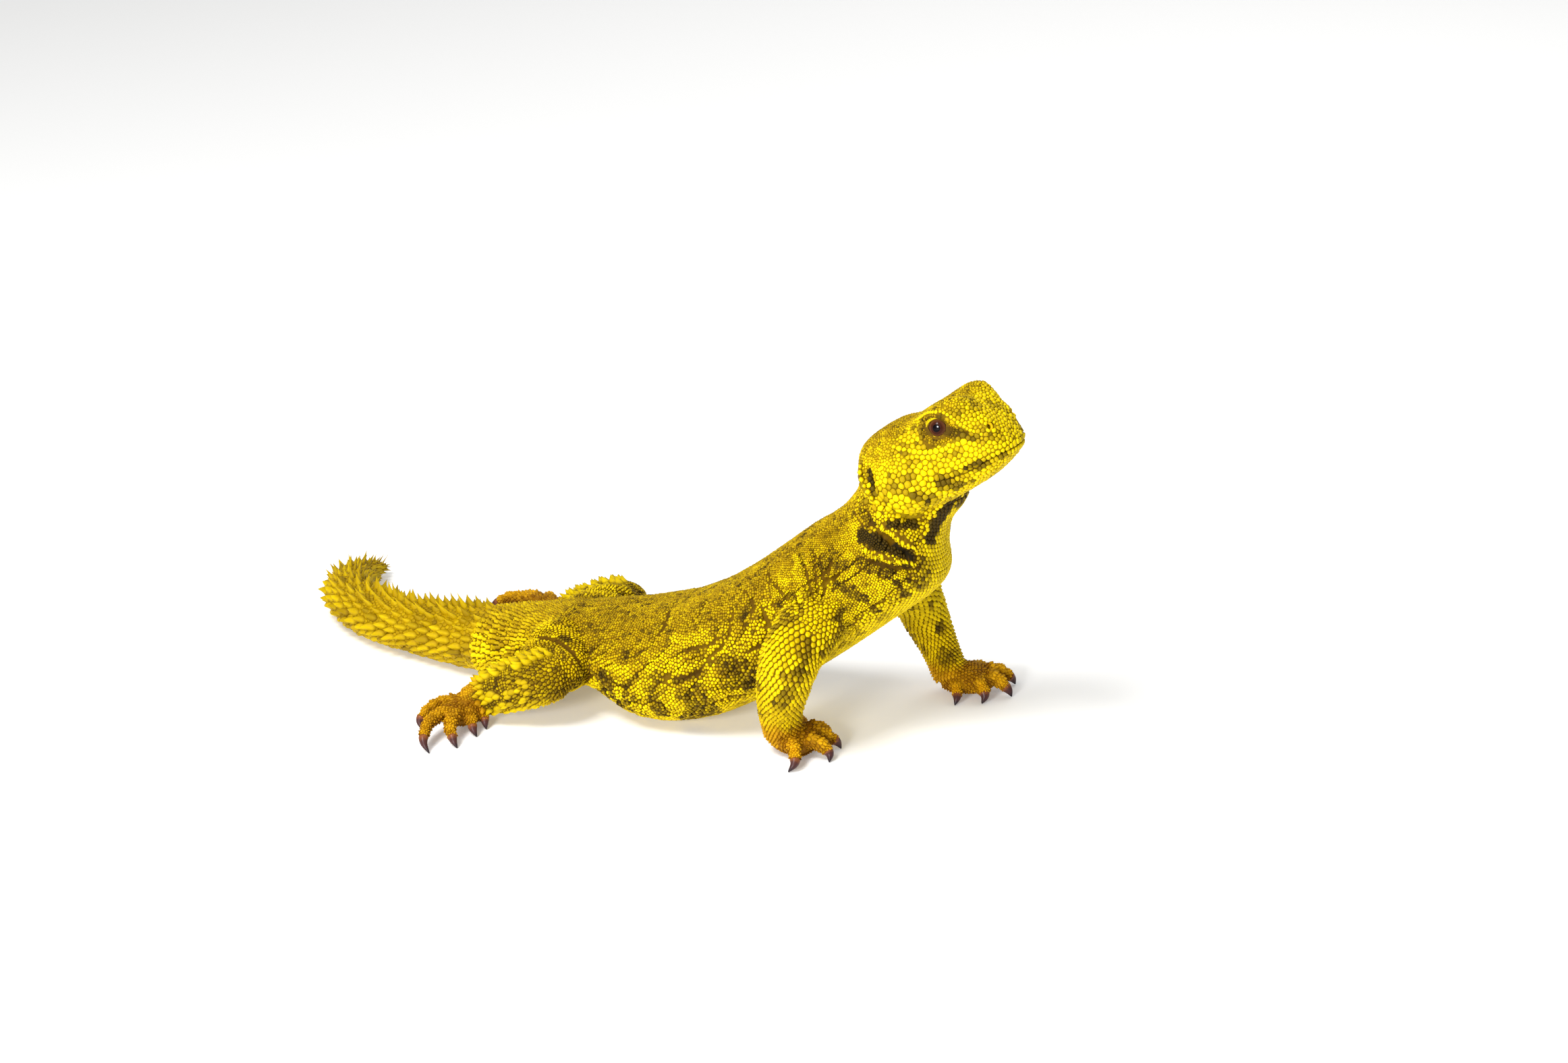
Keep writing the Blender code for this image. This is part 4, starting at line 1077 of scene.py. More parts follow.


# Dark markings of the right side in the world, repeated on the left, with painted shadow along the crease over the
# thigh; several others run along the neck's creases and darken them
BODY_BARS = bars(
    (67.9, -13.1, 62.6, 73.5, -11.2, 62.6, 1.1, 0.95),
    (60.7, -13.8, 59.1, 67.2, -14.2, 57.6, 1.9, 1.0),
    (67.2, -14.2, 57.6, 73.4, -12.0, 54.6, 1.7, 1.0),
    (61.0, -15.7, 52.6, 69.1, -15.1, 51.4, 1.7, 0.6),
    (69.4, -14.9, 51.8, 73.7, -12.3, 51.2, 0.9, 0.85),
    (80.6, -5.2, 66.5, 77.4, -6.4, 58.4, 2.2, 1.0),
    (82.0, -1.0, 66.3, 82.6, -2.5, 69.0, 1.3, 0.8),
    (58.7, -9.9, 65.8, 61.5, -13.1, 61.6, 1.1, 0.5),
    (50.8, -15.3, 50.2, 56.5, -15.9, 51.2, 1.7, 0.6),
    (55.1, -16.9, 46.3, 61.5, -16.4, 43.2, 1.8, 0.66),
    (61.5, -16.4, 43.2, 64.5, -13.6, 39.5, 1.2, 0.75),
    (61.6, -15.9, 52.4, 68.7, -15.4, 50.4, 1.7, 0.62),
    (69.6, -15.0, 50.4, 72.7, -13.2, 48.7, 0.9, 0.85),
    (70.5, -14.3, 47.3, 71.8, -11.6, 44.0, 1.0, 0.75),
    (26.5, -22.0, 22.1, 33.3, -21.5, 22.0, 2.4, 0.6),
    (36.2, -21.4, 27.4, 39.5, -22.5, 31.0, 1.6, 0.62),
    (8.3, -25.1, 17.6, 8.2, -24.0, 6.7, 1.4, 0.6),
    (-8.8, -22.1, 14.0, -7.3, -19.2, 5.4, 1.5, 0.7),
    (2.1, -25.2, 11.0, 3.4, -21.7, 4.5, 1.2, 0.55),
    (19.4, -25.5, 16.0, 22.4, -23.7, 11.6, 1.2, 0.55),
    (42.4, -17.3, 42.0, 47.8, -23.2, 40.7, 0.9, 0.6),
    (43.9, -23.8, 39.0, 44.0, -23.9, 38.8, 1.1, 0.6),
    (39.9, -18.1, 39.2, 40.2, -18.0, 38.6, 1.0, 0.55),
    (7.2, -25.8, 13.2, 9.2, -24.1, 5.0, 2.1, 0.6),
    (16.6, -25.6, 13.4, 19.4, -23.3, 6.0, 2.2, 0.62),
    (-0.5, -25.0, 12.5, 0.5, -23.5, 4.0, 1.6, 0.6),
    (26.7, -23.7, 21.6, 31.1, -21.9, 16.9, 2.4, 0.6),
    (32.4, -20.6, 15.6, 34.5, -18.5, 16.5, 2.0, 0.72),
    (-5.5, -23.2, 11.5, -4.5, -22.0, 5.0, 1.8, 0.65),
    (21.0, -24.7, 19.8, 13.8, -25.6, 16.7, 1.4, 0.6),
    (50.0, -31.2, 26.5, 50.5, -30.5, 24.0, 1.1, 0.5),
    (57.6, -18.8, 34.6, 54.2, -24.0, 30.4, 1.6, 0.5),
    (68.4, -28.2, 19.5, 68.8, -28.3, 18.3, 1.4, 0.7),
    (69.9, -27.6, 10.0, 69.6, -28.5, 12.5, 1.6, 0.55),
    (66.8, -25.1, 27.7, 66.4, -25.3, 26.5, 1.2, 0.6),
    (63.6, -21.0, 27.2, 62.6, -19.5, 29.0, 1.2, 0.5),
    (56.3, -20.1, 38.5, 59.0, -16.5, 40.3, 1.5, 0.62),
    (50.7, -30.5, 27.4, 51.3, -30.2, 25.8, 1.3, 0.56),
    (44.4, -32.3, 18.2, 45.4, -31.8, 16.5, 1.2, 0.5),
    (-27.5, -34.1, 13.9, -31.4, -34.1, 15.2, 2.6, 0.52),
    (-26.9, -31.1, 17.6, -31.4, -34.1, 15.2, 2.0, 0.5),
    (-15.1, -25.3, 12.3, -18.0, -30.0, 11.0, 2.2, 0.6),
    (-22.3, -34.9, 12.0, -29.0, -35.5, 9.0, 1.6, 0.5),
    (-30.7, -31.5, 15.8, -26.5, -29.2, 18.1, 3.0, 0.5),
    (-18.9, -31.8, 16.0, -17.0, -30.0, 17.0, 1.5, 0.5),
    (-18.1, -32.7, 10.0, -12.7, -24.4, 9.6, 2.2, 0.65),
    # Along the crease over the thigh: painted shadow.
    (-27.3, -19.0, 21.0, -18.7, -18.9, 21.7, 0.8, 0.75),
    (-67.6, -3.6, 14.5, -73.0, -1.8, 14.7, 2.6, 0.34),
    (-56.6, -3.2, 17.5, -57.6, -3.0, 17.5, 2.0, 0.3),
)

# Bright yellow patches of the right side in the world, repeated on the left
BRIGHT_PATCHES = bars(
    (12.6, -20.2, 25.8, 20.5, -21.0, 27.6, 1.9, 0.8),
    (28.5, -22.3, 27.3, 35.4, -21.0, 30.3, 1.8, 0.85),
    (6.5, -23.9, 19.7, 13.8, -23.2, 22.9, 2.2, 0.85),
    (22.1, -22.9, 25.2, 31.7, -22.1, 26.4, 1.1, 0.95),
    (-8.4, -21.6, 16.7, -1.2, -23.9, 16.7, 1.5, 0.8),
    (22.3, -24.1, 22.1, 24.2, -24.5, 17.8, 1.9, 0.9),
    (-2.7, -23.8, 9.4, 2.6, -24.3, 7.7, 1.9, 0.9),
    (11.5, -25.7, 10.7, 16.0, -24.3, 8.6, 2.4, 0.95),
    (23.4, -23.8, 12.7, 31.2, -20.0, 13.7, 1.9, 0.95),
    (8.9, -25.2, 17.7, 19.1, -24.8, 20.6, 1.8, 0.9),
    (39.8, -15.5, 43.8, 43.4, -19.3, 41.6, 1.5, 0.8),
    (34.2, -17.9, 37.4, 36.3, -18.7, 37.1, 1.4, 0.7),
    (33.8, -20.2, 32.9, 36.0, -20.1, 33.1, 1.3, 0.8),
    (42.1, -11.9, 49.3, 45.8, -16.6, 45.0, 1.3, 0.6),
    (63.9, -16.0, 44.5, 64.7, -13.0, 38.9, 1.8, 0.9),
    (66.5, -15.8, 47.5, 69.0, -14.0, 44.4, 1.4, 0.9),
    (55.4, -19.8, 40.1, 57.9, -17.1, 35.8, 1.3, 0.7),
    (64.6, -13.3, 63.2, 74.3, -11.1, 56.0, 1.0, 0.9),
    (61.2, -15.1, 56.1, 73.7, -12.4, 52.9, 0.9, 0.9),
)

# Dark markings of the head's left side in its own frame, repeated on the right, with painted shadow under the brow and
# painted shade in the ear's groove
HEAD_BARS = bars(
    # These five run along the crease under the brow ridge, over the eye and on before it: painted shadow of the brow.
    (2.4, 9.7, -1.0, 4.6, 8.8, -3.1, 1.8, 0.72),
    (4.6, 8.8, -3.1, 6.6, 8.3, -5.1, 1.5, 0.66),
    (6.6, 8.3, -5.1, 9.2, 8.0, -7.2, 0.9, 0.5),
    (-5.5, 9.6, 3.7, -0.8, 9.8, 3.7, 0.75, 0.58),
    (-0.8, 9.8, 3.7, 2.6, 9.5, 1.2, 0.75, 0.62),
    (-7.6, 9.0, 3.6, -4.6, 9.9, 1.4, 1.1, 0.42),
    (-6.8, 10.6, -0.6, -4.6, 10.4, -2.6, 0.9, 0.4),
    (2.9, 9.6, -12.2, 7.3, 8.6, -12.7, 1.5, 0.66),
    (-5.0, 12.0, -11.8, -2.6, 9.8, -14.6, 2.1, 0.66),
    (-11.6, 14.3, -12.4, -9.8, 13.2, -14.4, 1.5, 0.56),
    (-14.4, 11.4, -16.7, -10.9, 12.3, -15.7, 1.0, 0.75),
    (10.8, 6.9, -12.9, 12.2, 5.6, -12.7, 1.0, 0.75),
    (-21.4, 14.4, -11.4, -20.4, 14.4, -10.4, 1.4, 0.4),
    (-15.4, 15.3, -9.8, -13.6, 15.2, -8.6, 1.2, 0.35),
    (-1.8, 10.9, -6.3, 0.2, 10.8, -5.9, 0.8, 0.4),
    # In the ear's deep groove: painted shade, black.
    (-22.4, 13.0, -2.3, -23.8, 13.9, -7.9, 0.75, 1.0),
)


class Markings:
    """The colours' pattern with painted shade and light, the same for skin and scales: dark, bright and rust, each from
    0 to 1.
    """

    def __init__(self, skin: Skin) -> None:
        """Set the bars and patches down on the skin, and keep its creases and its atlas."""
        self.atlas = skin.atlas
        self.creases = skin.creases
        self.bars, self.patches, self.head_bars = (
            [bar.laid(skin.tree, side, of_head) for bar in given for side in (1, -1)]
            for given, of_head in ((BODY_BARS, False), (BRIGHT_PATCHES, False), (HEAD_BARS, True)))

    def paint(self, places: Array, spots: Array) -> Array:
        """Work out the pattern.

        Args:
            places: where, in millimetres.
            spots: the nearest of the atlas's points to each place.

        Returns:
            Dark, bright and rust, one row a place.
        """
        part = self.atlas.part(spots)
        up = np.sin(np.radians(self.atlas.turn[spots]))
        local = to_head(places)
        local[:, 1] = np.abs(local[:, 1])
        dark = np.zeros(len(places))
        bright = np.full(len(places), 0.6)
        wander = (mottle(places, 2.4, 3) - 0.5) * 4.2
        glow = np.zeros(len(places))
        for patch in self.patches:
            glow = np.maximum(glow, patch.cover(places, wander))
        head = part == Part.HEAD
        for bar in self.head_bars:
            dark[head] = np.maximum(dark[head], bar.cover(places[head], wander[head] * 0.35))
        for chosen, shade in ((part == Part.TRUNK, self.trunk), (head, self.head),
                              (part == Part.TAIL, self.tail), (part == Part.ARM, self.arm),
                              (np.isin(part, (Part.THIGH, Part.SHANK)), self.leg)):
            low, light = shade(places[chosen], up[chosen], local[chosen])
            dark[chosen] = np.maximum(dark[chosen], low)
            bright[chosen] = light
        dark *= 1.0 - glow
        bright += glow * 0.9
        # Lighter and less dark on the ridges beside each crease.
        for fold in self.creases:
            close = boxed(places, fold.points, 3.0)
            ridge = fold.closeness(places[close], 2.2)
            bright[close] += 0.3 * ridge
            dark[close] *= 1.0 - 0.5 * ridge
        # Each crease's line is painted dark: painted shade in the crease.
        for fold in self.creases:
            close = boxed(places, fold.points, 3.0)
            line = Fold(fold.points, 0.35 + 0.4 * fold.width, 0.0)
            dark[close] = np.maximum(dark[close], 0.82 * line.closeness(places[close]))
        for bar in self.bars:
            dark = np.maximum(dark, bar.cover(places, wander * 0.6))
        foot = part >= Part.PALM
        # Toes lighter on top and towards their ends: painted light, and shade between the toes. The hind feet darker,
        # and the left feet, on the side away from the lamps, darker again: painted shade.
        along = self.atlas.along[spots]
        lit = smooth_step(-0.1, 0.75, up) * (part == Part.TOE) * smooth_step(2.0, 5.5, along)
        rear = smooth_step(10.0, -10.0, places[:, 0]) - 0.5 * (places[:, 1] > 0)
        bright[foot] = (-0.6 + 0.9 * mottle(places, 1.5, 21) + 1.1 * lit - 0.4 * rear)[foot]
        return np.stack([dark, np.clip(bright, 0.0, 1.0), self.rust(places, part)], axis=1)

    def trunk(self, places: Array, up: Array, local: Array) -> tuple[Array, Array]:
        """Dark and bright on the trunk and neck: an ochre back, patchy flanks and a yellow belly."""
        fine = mottle(places, 1.4, 2)
        back = smooth_step(0.35, 0.85, up)
        low = smooth_step(0.1, -0.35, up)
        neck = smooth_step(50.0, 60.0, places[:, 0])
        patch = smooth_step(0.47, 0.57, mottle(slanted(places), 2.9, 1))
        band = smooth_step(0.55, 0.0, np.abs(up + 0.1)) * smooth_step(44.0, 34.0, places[:, 0])
        bright = 0.16 + patch * (1 - back) * (0.45 + 0.5 * np.maximum(low, band)) + 0.25 * low
        bright += 0.4 * neck + 0.3 * low + (fine - 0.5) * 0.9
        net = smooth_step(0.45, 0.6, mottle(places, 2.3, 9)) * (1 - 0.75 * patch)
        # groove paints the flanks' wrinkles darker: painted shade in their creases.
        groove = wrinkles(places, up)
        blotch = smooth_step(0.54, 0.59, mottle(places * (1.0, 0.6, 0.8), 6.2, 12))
        upper = 0.5 * net * (1 - 0.5 * back) * (1 - 0.4 * neck) + 0.55 * groove
        dark = upper * (1 - low) + low * np.maximum(0.58 * blotch, 0.28 * net + 0.3 * groove)
        dark += 0.34 * smooth_step(0.55, 0.7, speckle(places, 1.2, 31)) * back
        hips = smooth_step(-22.0, -38.0, places[:, 0])
        dark *= 1.0 - 0.6 * hips
        bright += 0.14 * hips
        belly = smooth_step(-0.8, -0.95, up)
        return np.clip(dark, 0.0, 1.0) * (1 - belly), bright

    def head(self, places: Array, up: Array, local: Array) -> tuple[Array, Array]:
        """Dark and bright on the head: an ochre crown, and bright cheeks, brows and lips."""
        x, y, z = local.T
        crown = smooth_step(2.6, 4.8, z) * smooth_step(11.0, 6.0, x)
        round_eye = 1.0 - smooth_step(3.2, 5.6, np.linalg.norm((local - EYE_AT) * (0.75, 0.5, 1.0), axis=1))
        temple = smooth_step(-6.0, -12.0, x) * smooth_step(-5.0, 1.0, z)
        bright = 0.9 - 0.4 * crown - 0.85 * round_eye - 0.5 * temple
        bright += (mottle(places, 1.7, 4) - 0.5) * 1.1
        dark = 0.34 * crown * smooth_step(0.45, 0.6, mottle(places, 2.0, 6))
        dark += 0.3 * round_eye * smooth_step(0.35, 0.6, mottle(places, 1.4, 7))
        dark += 0.36 * smooth_step(0.53, 0.63, mottle(places, 2.9, 8)) * (1.0 - crown)
        return dark, bright

    def tail(self, places: Array, up: Array, local: Array) -> tuple[Array, Array]:
        """Dark and bright on the tail: ochre, and yellow towards its underside."""
        bright = -0.34 + 0.5 * smooth_step(0.1, -0.6, up) + (mottle(places, 3.5, 14) - 0.5) * 0.6
        root = smooth_step(-66.0, -52.0, places[:, 0])
        return 0.08 + 0.28 * smooth_step(0.54, 0.66, mottle(places, 5.0, 15)), bright + 0.15 * root

    def arm(self, places: Array, up: Array, local: Array) -> tuple[Array, Array]:
        """Dark and bright on the forelegs: yellow with brown patches."""
        bright = 0.8 - 0.38 * smooth_step(24.0, 12.0, places[:, 2]) + (mottle(places, 2.0, 16) - 0.5) * 0.5
        dark = 0.5 * smooth_step(0.6, 0.68, mottle(places, 4.4, 17))
        return dark, bright

    def leg(self, places: Array, up: Array, local: Array) -> tuple[Array, Array]:
        """Dark and bright on the hind legs: ochre brown with yellow scales among it."""
        bright = 0.5 + (mottle(places, 2.6, 18) - 0.5) * 1.1
        shank = smooth_step(-17.0, -22.0, places[:, 0]) * smooth_step(20.0, 23.0, np.abs(places[:, 1]))
        dark = 0.5 * smooth_step(0.45, 0.58, mottle(places, 3.0, 19)) + 0.46 * shank
        return np.minimum(dark, 0.58) * smooth_step(-0.8, -0.5, up), bright

    def rust(self, places: Array, part: Array) -> Array:
        """How far hands and feet turn to rusty orange, from the wrist and ankle on."""
        rust = np.where(part >= Part.PALM, 1.0, 0.0)
        arm = part == Part.ARM
        rust[arm] = smooth_step(11.5, 6.0, places[arm, 2] + (mottle(places[arm], 2.0, 22) - 0.5) * 5)
        leg = part == Part.SHANK
        away = np.where(places[:, 1] < 0, places[:, 0] + 38.0, places[:, 0] + 43.0)
        rust[leg] = smooth_step(0.0, -5.0, away[leg] + (mottle(places[leg], 2.0, 23) - 0.5) * 5)
        return rust


@dataclass(frozen=True)
class ScaleShape:
    """How one kind of scale rises from its root.

    Attributes:
        sides: corners of its outline.
        rings: from its sunk base upwards, the part of its outline and of its height.
        peak: the height of its middle, as a part of its height.
        lean: how far its top moves along its lie, as a part of its height.
        tilt: how much higher its rear stands than its front.
        rear: how far its rear corner is drawn out.
        keel: the height of the ridge along it.
        point: how pointed an outline of its own is, from 2 for an oval to 1 for a diamond.
        own: its outline's half length and half width for a size of one, where it keeps clear of its neighbours' cells.
        tip: how yellow its tip is.
        floor: how light it stays at its foot, where the finish paints shade, from 0 to 1.
        vary: how much its kind differs in darkness from one to the next.
    """

    sides: int
    rings: tuple
    peak: float = 1.0
    lean: float = 0.0
    tilt: float = 0.0
    rear: float = 1.0
    keel: float = 0.0
    own: tuple = ()
    tip: float = 0.0
    point: float = 2.0
    floor: float = 0.0
    vary: float = 0.0


class Kind(Enum):
    """The kinds of scale."""

    GRANULE = ScaleShape(6, ((0.98, -0.6), (0.82, 0.5)), vary=0.3)
    PLATE = ScaleShape(8, ((1.0, -0.5), (0.93, 0.35), (0.76, 0.86)), floor=0.08, vary=0.16)
    SQUARE = ScaleShape(6, ((1.0, -0.6), (0.86, 0.45)), 0.9, 0.2, 0.45, 1.2, vary=0.2)
    KITE = ScaleShape(8, ((0.97, -0.6), (0.8, 0.3), (0.5, 0.78)), 0.95, 0.5, 0.6, 1.45, 0.12, vary=0.15)
    POINT = ScaleShape(8, ((1.0, -0.4), (0.86, 0.2), (0.45, 0.62)), 1.0, 0.8, 0.3, 1.3, 0.1, (1.2, 0.92), 0.6, 1.5)
    CONE = ScaleShape(8, ((1.0, -0.3), (0.84, 0.16), (0.46, 0.55)), 1.0, 0.8, 0.1, 1.15, 0.12, (1.2, 0.98), 0.8, 1.5,
                      0.15)
    THORN = ScaleShape(8, ((1.0, -0.3), (0.8, 0.14), (0.46, 0.46), (0.18, 0.8)), 1.0, 0.5, 0.1, 1.0, 0.1,
                       (1.4, 0.8), 0.6, 1.6, 0.45)
    LEAF = ScaleShape(8, ((1.0, -0.3), (0.96, 0.16), (0.56, 0.5)), 0.85, 1.0, 0.5, 1.4, 0.3, (1.5, 0.96), 0.7, 1.25,
                      0.22)


@dataclass
class Roots:
    """Where scales grow: each field has one row a scale."""

    places: Array
    lie: Array
    size: Array
    tall: Array
    kind: Array
    glow: Array

    def take(self, chosen: Array) -> "Roots":
        """Only the chosen ones."""
        return Roots(*(getattr(self, name)[chosen] for name in self.__dataclass_fields__))

    @staticmethod
    def joined(groups: Sequence) -> "Roots":
        """Several groups as one."""
        return Roots(*(np.concatenate([getattr(g, name) for g in groups]) for name in Roots.__dataclass_fields__))

    @staticmethod
    def alike(places: Array, lie: Array, size: float, tall: float, kind: Kind, glow: float = 0.0) -> "Roots":
        """Scales that share one size, height and kind."""
        count = len(places)
        number = list(Kind).index(kind)
        return Roots(places, lie, np.full(count, size), np.full(count, tall), np.full(count, number),
                     np.full(count, glow))


# The glow above which a scale is a bead of the lids, which may grow inside the eye's opening
BEAD_GLOW = 1.5

# Turns right round a limb, so that its rows are spaced on its outer or its upper side
OUTER = (-180.0, 180.0)
UPPER = (-90.0, 270.0)


@dataclass(frozen=True)
class Zone:
    """A part of one form that is covered by rows of one kind of scale.

    Attributes:
        form: the form's name.
        kind: the kind of scale.
        pitch: how far apart the scales of a row are, at the zone's start and at its end.
        turns: where round the form it starts and ends, in degrees.
        tall: how high the scales stand.
        lengths: where along the form it starts and ends, as parts of its length.
        stretch: how long the scales are for their width.
        jitter: how far they stray, as a part of the pitch.
        flow: 1 where they point to the form's end, -1 where they point to its start.
        count: how many a row has, where that is fixed.
        glow: how surely they are bright yellow, whatever the markings there.
    """

    form: str
    kind: Kind
    pitch: tuple
    turns: tuple = (0.0, 360.0)
    tall: float = 0.4
    lengths: tuple = (0.0, 1.0)
    stretch: float = 1.0
    jitter: float = 0.12
    flow: int = 1
    count: int = 0
    glow: float = 0.0

    def roots(self, form: Form, draw: Draw) -> Roots:
        """Lay the zone's rows on its form, and leave their roots there."""
        low, high = self.turns
        whole = high - low > 359.0
        total = form.travelled()[-1]
        stops = np.linspace(total * self.lengths[0], total * self.lengths[1], 160)
        line = form.at(stops, np.full(160, (low + high) / 2))
        reach = distances(line)
        places, lies, sizes = [], [], []
        spot, row = 0.0, 0
        while spot < reach[-1]:
            along = float(np.interp(spot, reach, stops))
            turns = np.linspace(low, high, 73)
            arc = distances(form.at(np.full(73, along), turns))
            pitch = float(np.interp(spot / reach[-1], (0, 1), self.pitch))
            count = self.count or max(3, int(round(arc[-1] / pitch)))
            pitch = arc[-1] / count
            picks = (np.arange(count if whole else count + 1) + 0.5 * (row % 2)) * pitch
            picks = picks + draw.normal(0.0, self.jitter * pitch * 0.5, len(picks))
            around = np.interp(picks % arc[-1], arc, turns)
            stray = np.clip(along + draw.normal(0.0, self.jitter * pitch * 0.5, len(picks)), 0.0, total)
            ahead = form.at(np.minimum(stray + 0.4, total), around) - form.at(np.maximum(stray - 0.4, 0.0), around)
            places.append(form.at(stray, around))
            lies.append(unit(ahead) * self.flow)
            sizes.append(np.full(len(picks), pitch * 0.5 * math.sqrt(self.stretch)))
            spot += pitch * 0.87 * self.stretch
            row += 1
        made = Roots.alike(np.vstack(places), np.vstack(lies), 1.0, self.tall, self.kind, self.glow)
        made.size = np.concatenate(sizes)
        return made


@dataclass(frozen=True)
class Row:
    """Scales in single file along a line of points in the world."""

    points: tuple
    pitch: float
    tall: float
    kind: Kind
    lie: tuple = (-0.8, 0.1, -0.5)
    glow: float = 0.0

    def roots(self, draw: Draw) -> Roots:
        """The scales' roots along the line."""
        line = catmull(self.points, 10)
        reach = distances(line)
        count = max(2, int(round(reach[-1] / self.pitch)))
        stops = (np.arange(count) + 0.5) / count * reach[-1]
        stops = stops + draw.normal(0.0, 0.04 * self.pitch, count)
        places = np.stack([np.interp(stops, reach, line[:, i]) for i in range(3)], axis=1)
        lies = np.tile(unit(np.array(self.lie)), (count, 1))
        made = Roots.alike(places, lies, self.pitch * 0.5, self.tall, self.kind, self.glow)
        made.size = made.size * draw.uniform(0.8, 1.15, count)
        return made


@dataclass
class Coat:
    """The scales over the skin: where they grow, how far each spreads, and their joined meshes."""

    skin: Skin
    markings: Markings
    paint: Paint
    draw: Draw
    floor_gap: float = 0.02
    patch_size: float = 0.0015
    eye_margin: float = 3.0
    eye_span: float = 1.32
    nostril_clear: float = 1.35
    bare: float = 0.5
    groups: list = field(default_factory=list)
    roots: Roots = None
    normals: Array = None
    spots: Array = None
    radii: Array = None
    made: list = field(default_factory=list)

    def settle(self, roots: Roots, reach: float) -> Roots:
        """Set roots down on the skin and drop those that are further off it than reach."""
        spots, away = nearest(self.skin.tree, roots.places)
        found = roots.take(away < reach)
        found.places = spots[away < reach]
        return found

    def sow(self, roots: Roots, reach: float = 1.0, room: float = 0.62, settled: bool = False) -> None:
        """Add scales where there is still room for them.

        Args:
            roots: the scales' roots.
            reach: how far from the skin they may start.
            room: how near they may come to those already there, as a part of their two sizes.
            settled: whether they already lie where they should.
        """
        if not settled:
            roots = self.settle(roots, reach)
        clear = np.ones(len(roots.places), bool)
        for eye in EYES:
            opening = eye.near(roots.places, self.eye_margin) & (eye.reach(roots.places) < self.eye_span)
            clear &= ~opening | (roots.glow > BEAD_GLOW)
            local = to_head(roots.places) * (1, eye.side, 1)
            clear &= np.linalg.norm(local - np.array(NOSTRIL_AT), axis=1) > self.nostril_clear
        if self.groups:
            earlier = Roots.joined(self.groups)
            tree = search_tree(earlier.places)
            for k in np.flatnonzero(clear):
                _, other, away = tree.find(roots.places[k])
                clear[k] = away > room * (earlier.size[other] + roots.size[k])
        self.groups.append(roots.take(clear))

    def gather(self) -> None:
        """Put all the scales together and find each one's outward direction and part of the body."""
        self.roots = Roots.joined(self.groups)
        tree = search_tree(self.skin.places)
        normals, closest = [], []
        for place, size in zip(self.roots.places, self.roots.size):
            near = [hit[1] for hit in tree.find_n(place, 9 if size > 0.7 else 5)]
            normals.append(self.skin.normals[near].mean(axis=0))
            closest.append(near[0])
        groove = self.skin.groove[closest] * (self.roots.glow < self.bare)
        kept = groove < self.bare
        self.roots.size = self.roots.size * (1.0 - 0.5 * groove)
        self.roots = self.roots.take(kept)
        self.normals = unit(np.array(normals)[kept])
        lie = self.roots.lie
        self.roots.lie = unit(lie - self.normals * (lie * self.normals).sum(axis=1, keepdims=True))
        self.spots = self.skin.atlas.find(self.roots.places)

    def spread(self, sides: int = 24, near: int = 11, cap: float = 1.32) -> None:
        """Find how far each scale reaches each way before it meets its neighbours.

        Args:
            sides: directions looked in, from the lie round.
            near: how many neighbours count.
            cap: the furthest it reaches, as a part of its size.
        """
        roots = self.roots
        tree = search_tree(roots.places)
        others = np.array([[hit[1] for hit in tree.find_n(place, near + 1)][1:] for place in roots.places])
        across = np.cross(self.normals, roots.lie)
        turns = 2 * np.pi * np.arange(sides) / sides
        radii = np.repeat((roots.size * cap)[:, None], sides, axis=1)
        for j in range(near):
            away = roots.places[others[:, j]] - roots.places
            ahead = (away * roots.lie).sum(axis=1)
            aside = (away * across).sum(axis=1)
            length = np.hypot(ahead, aside) + 1e-9
            share = roots.size / (roots.size + roots.size[others[:, j]])
            facing = (ahead[:, None] * np.cos(turns) + aside[:, None] * np.sin(turns)) / length[:, None]
            limit = (length * share)[:, None] / np.maximum(facing, 1e-3)
            radii = np.minimum(radii, np.where(facing > 0.15, limit, np.inf))
        self.radii = radii

    def unwrap(self, chosen: Array) -> Array:
        """The place of each chosen root on the unwrap of the forms, from 0 to 1 both ways."""
        atlas = self.skin.atlas
        spots = self.spots[chosen]
        owner = atlas.owner[spots]
        side = math.ceil(math.sqrt(len(atlas.forms)))
        lengths = np.array([form.travelled()[-1] for form in atlas.forms])
        across = atlas.along[spots] / lengths[owner]
        up = atlas.turn[spots] / 360.0
        column, row = owner % side, owner // side
        return np.stack([(column + 0.05 + 0.9 * across) / side, (row + 0.05 + 0.9 * up) / side], axis=1)

    def mesh(self, name: str, chosen: Array) -> None:
        """Join the chosen scales, all of one kind, into one mesh."""
        shape = list(Kind)[int(self.roots.kind[chosen[0]])].value
        roots = self.roots.take(chosen)
        normals = self.normals[chosen]
        across = np.cross(normals, roots.lie)
        count, sides, levels = len(chosen), shape.sides, len(shape.rings)
        turns = 2 * np.pi * np.arange(sides) / sides
        cos, sin = np.cos(turns), np.sin(turns)
        if shape.own:
            long, wide = shape.own
            radius = (np.abs(cos / long) ** shape.point + np.abs(sin / wide) ** shape.point) ** (-1.0 / shape.point)
            radii = roots.size[:, None] * radius[None, :] * self.draw.uniform(0.92, 1.08, (count, 1))
        else:
            picks = np.rint(turns / (2 * np.pi) * self.radii.shape[1]).astype(int)
            radii = self.radii[chosen][:, picks]
        rear = np.maximum(cos, 0.0) ** 2
        ridge = np.abs(cos) ** 6
        tall = roots.tall * self.draw.uniform(0.86, 1.14, count)
        ways = roots.lie[:, None, :] * cos[None, :, None] + across[:, None, :] * sin[None, :, None]
        whole = levels * sides + 1
        corners, form, patch = np.empty((count, whole, 3)), np.zeros((count, whole, 3)), np.zeros((count, whole, 2))
        tone = self.draw.uniform(0.0, 1.0, count)
        tipped = shape.tip * self.draw.uniform(0.3, 1.0, (count, 1))
        for level, (wide, high) in enumerate(shape.rings):
            grown = float(level > 0)
            reach = radii * wide * (1.0 + (shape.rear - 1.0) * rear * grown)[None, :]
            height = tall[:, None] * (high * (1.0 + shape.tilt * cos * grown) + shape.keel * ridge * grown)[None, :]
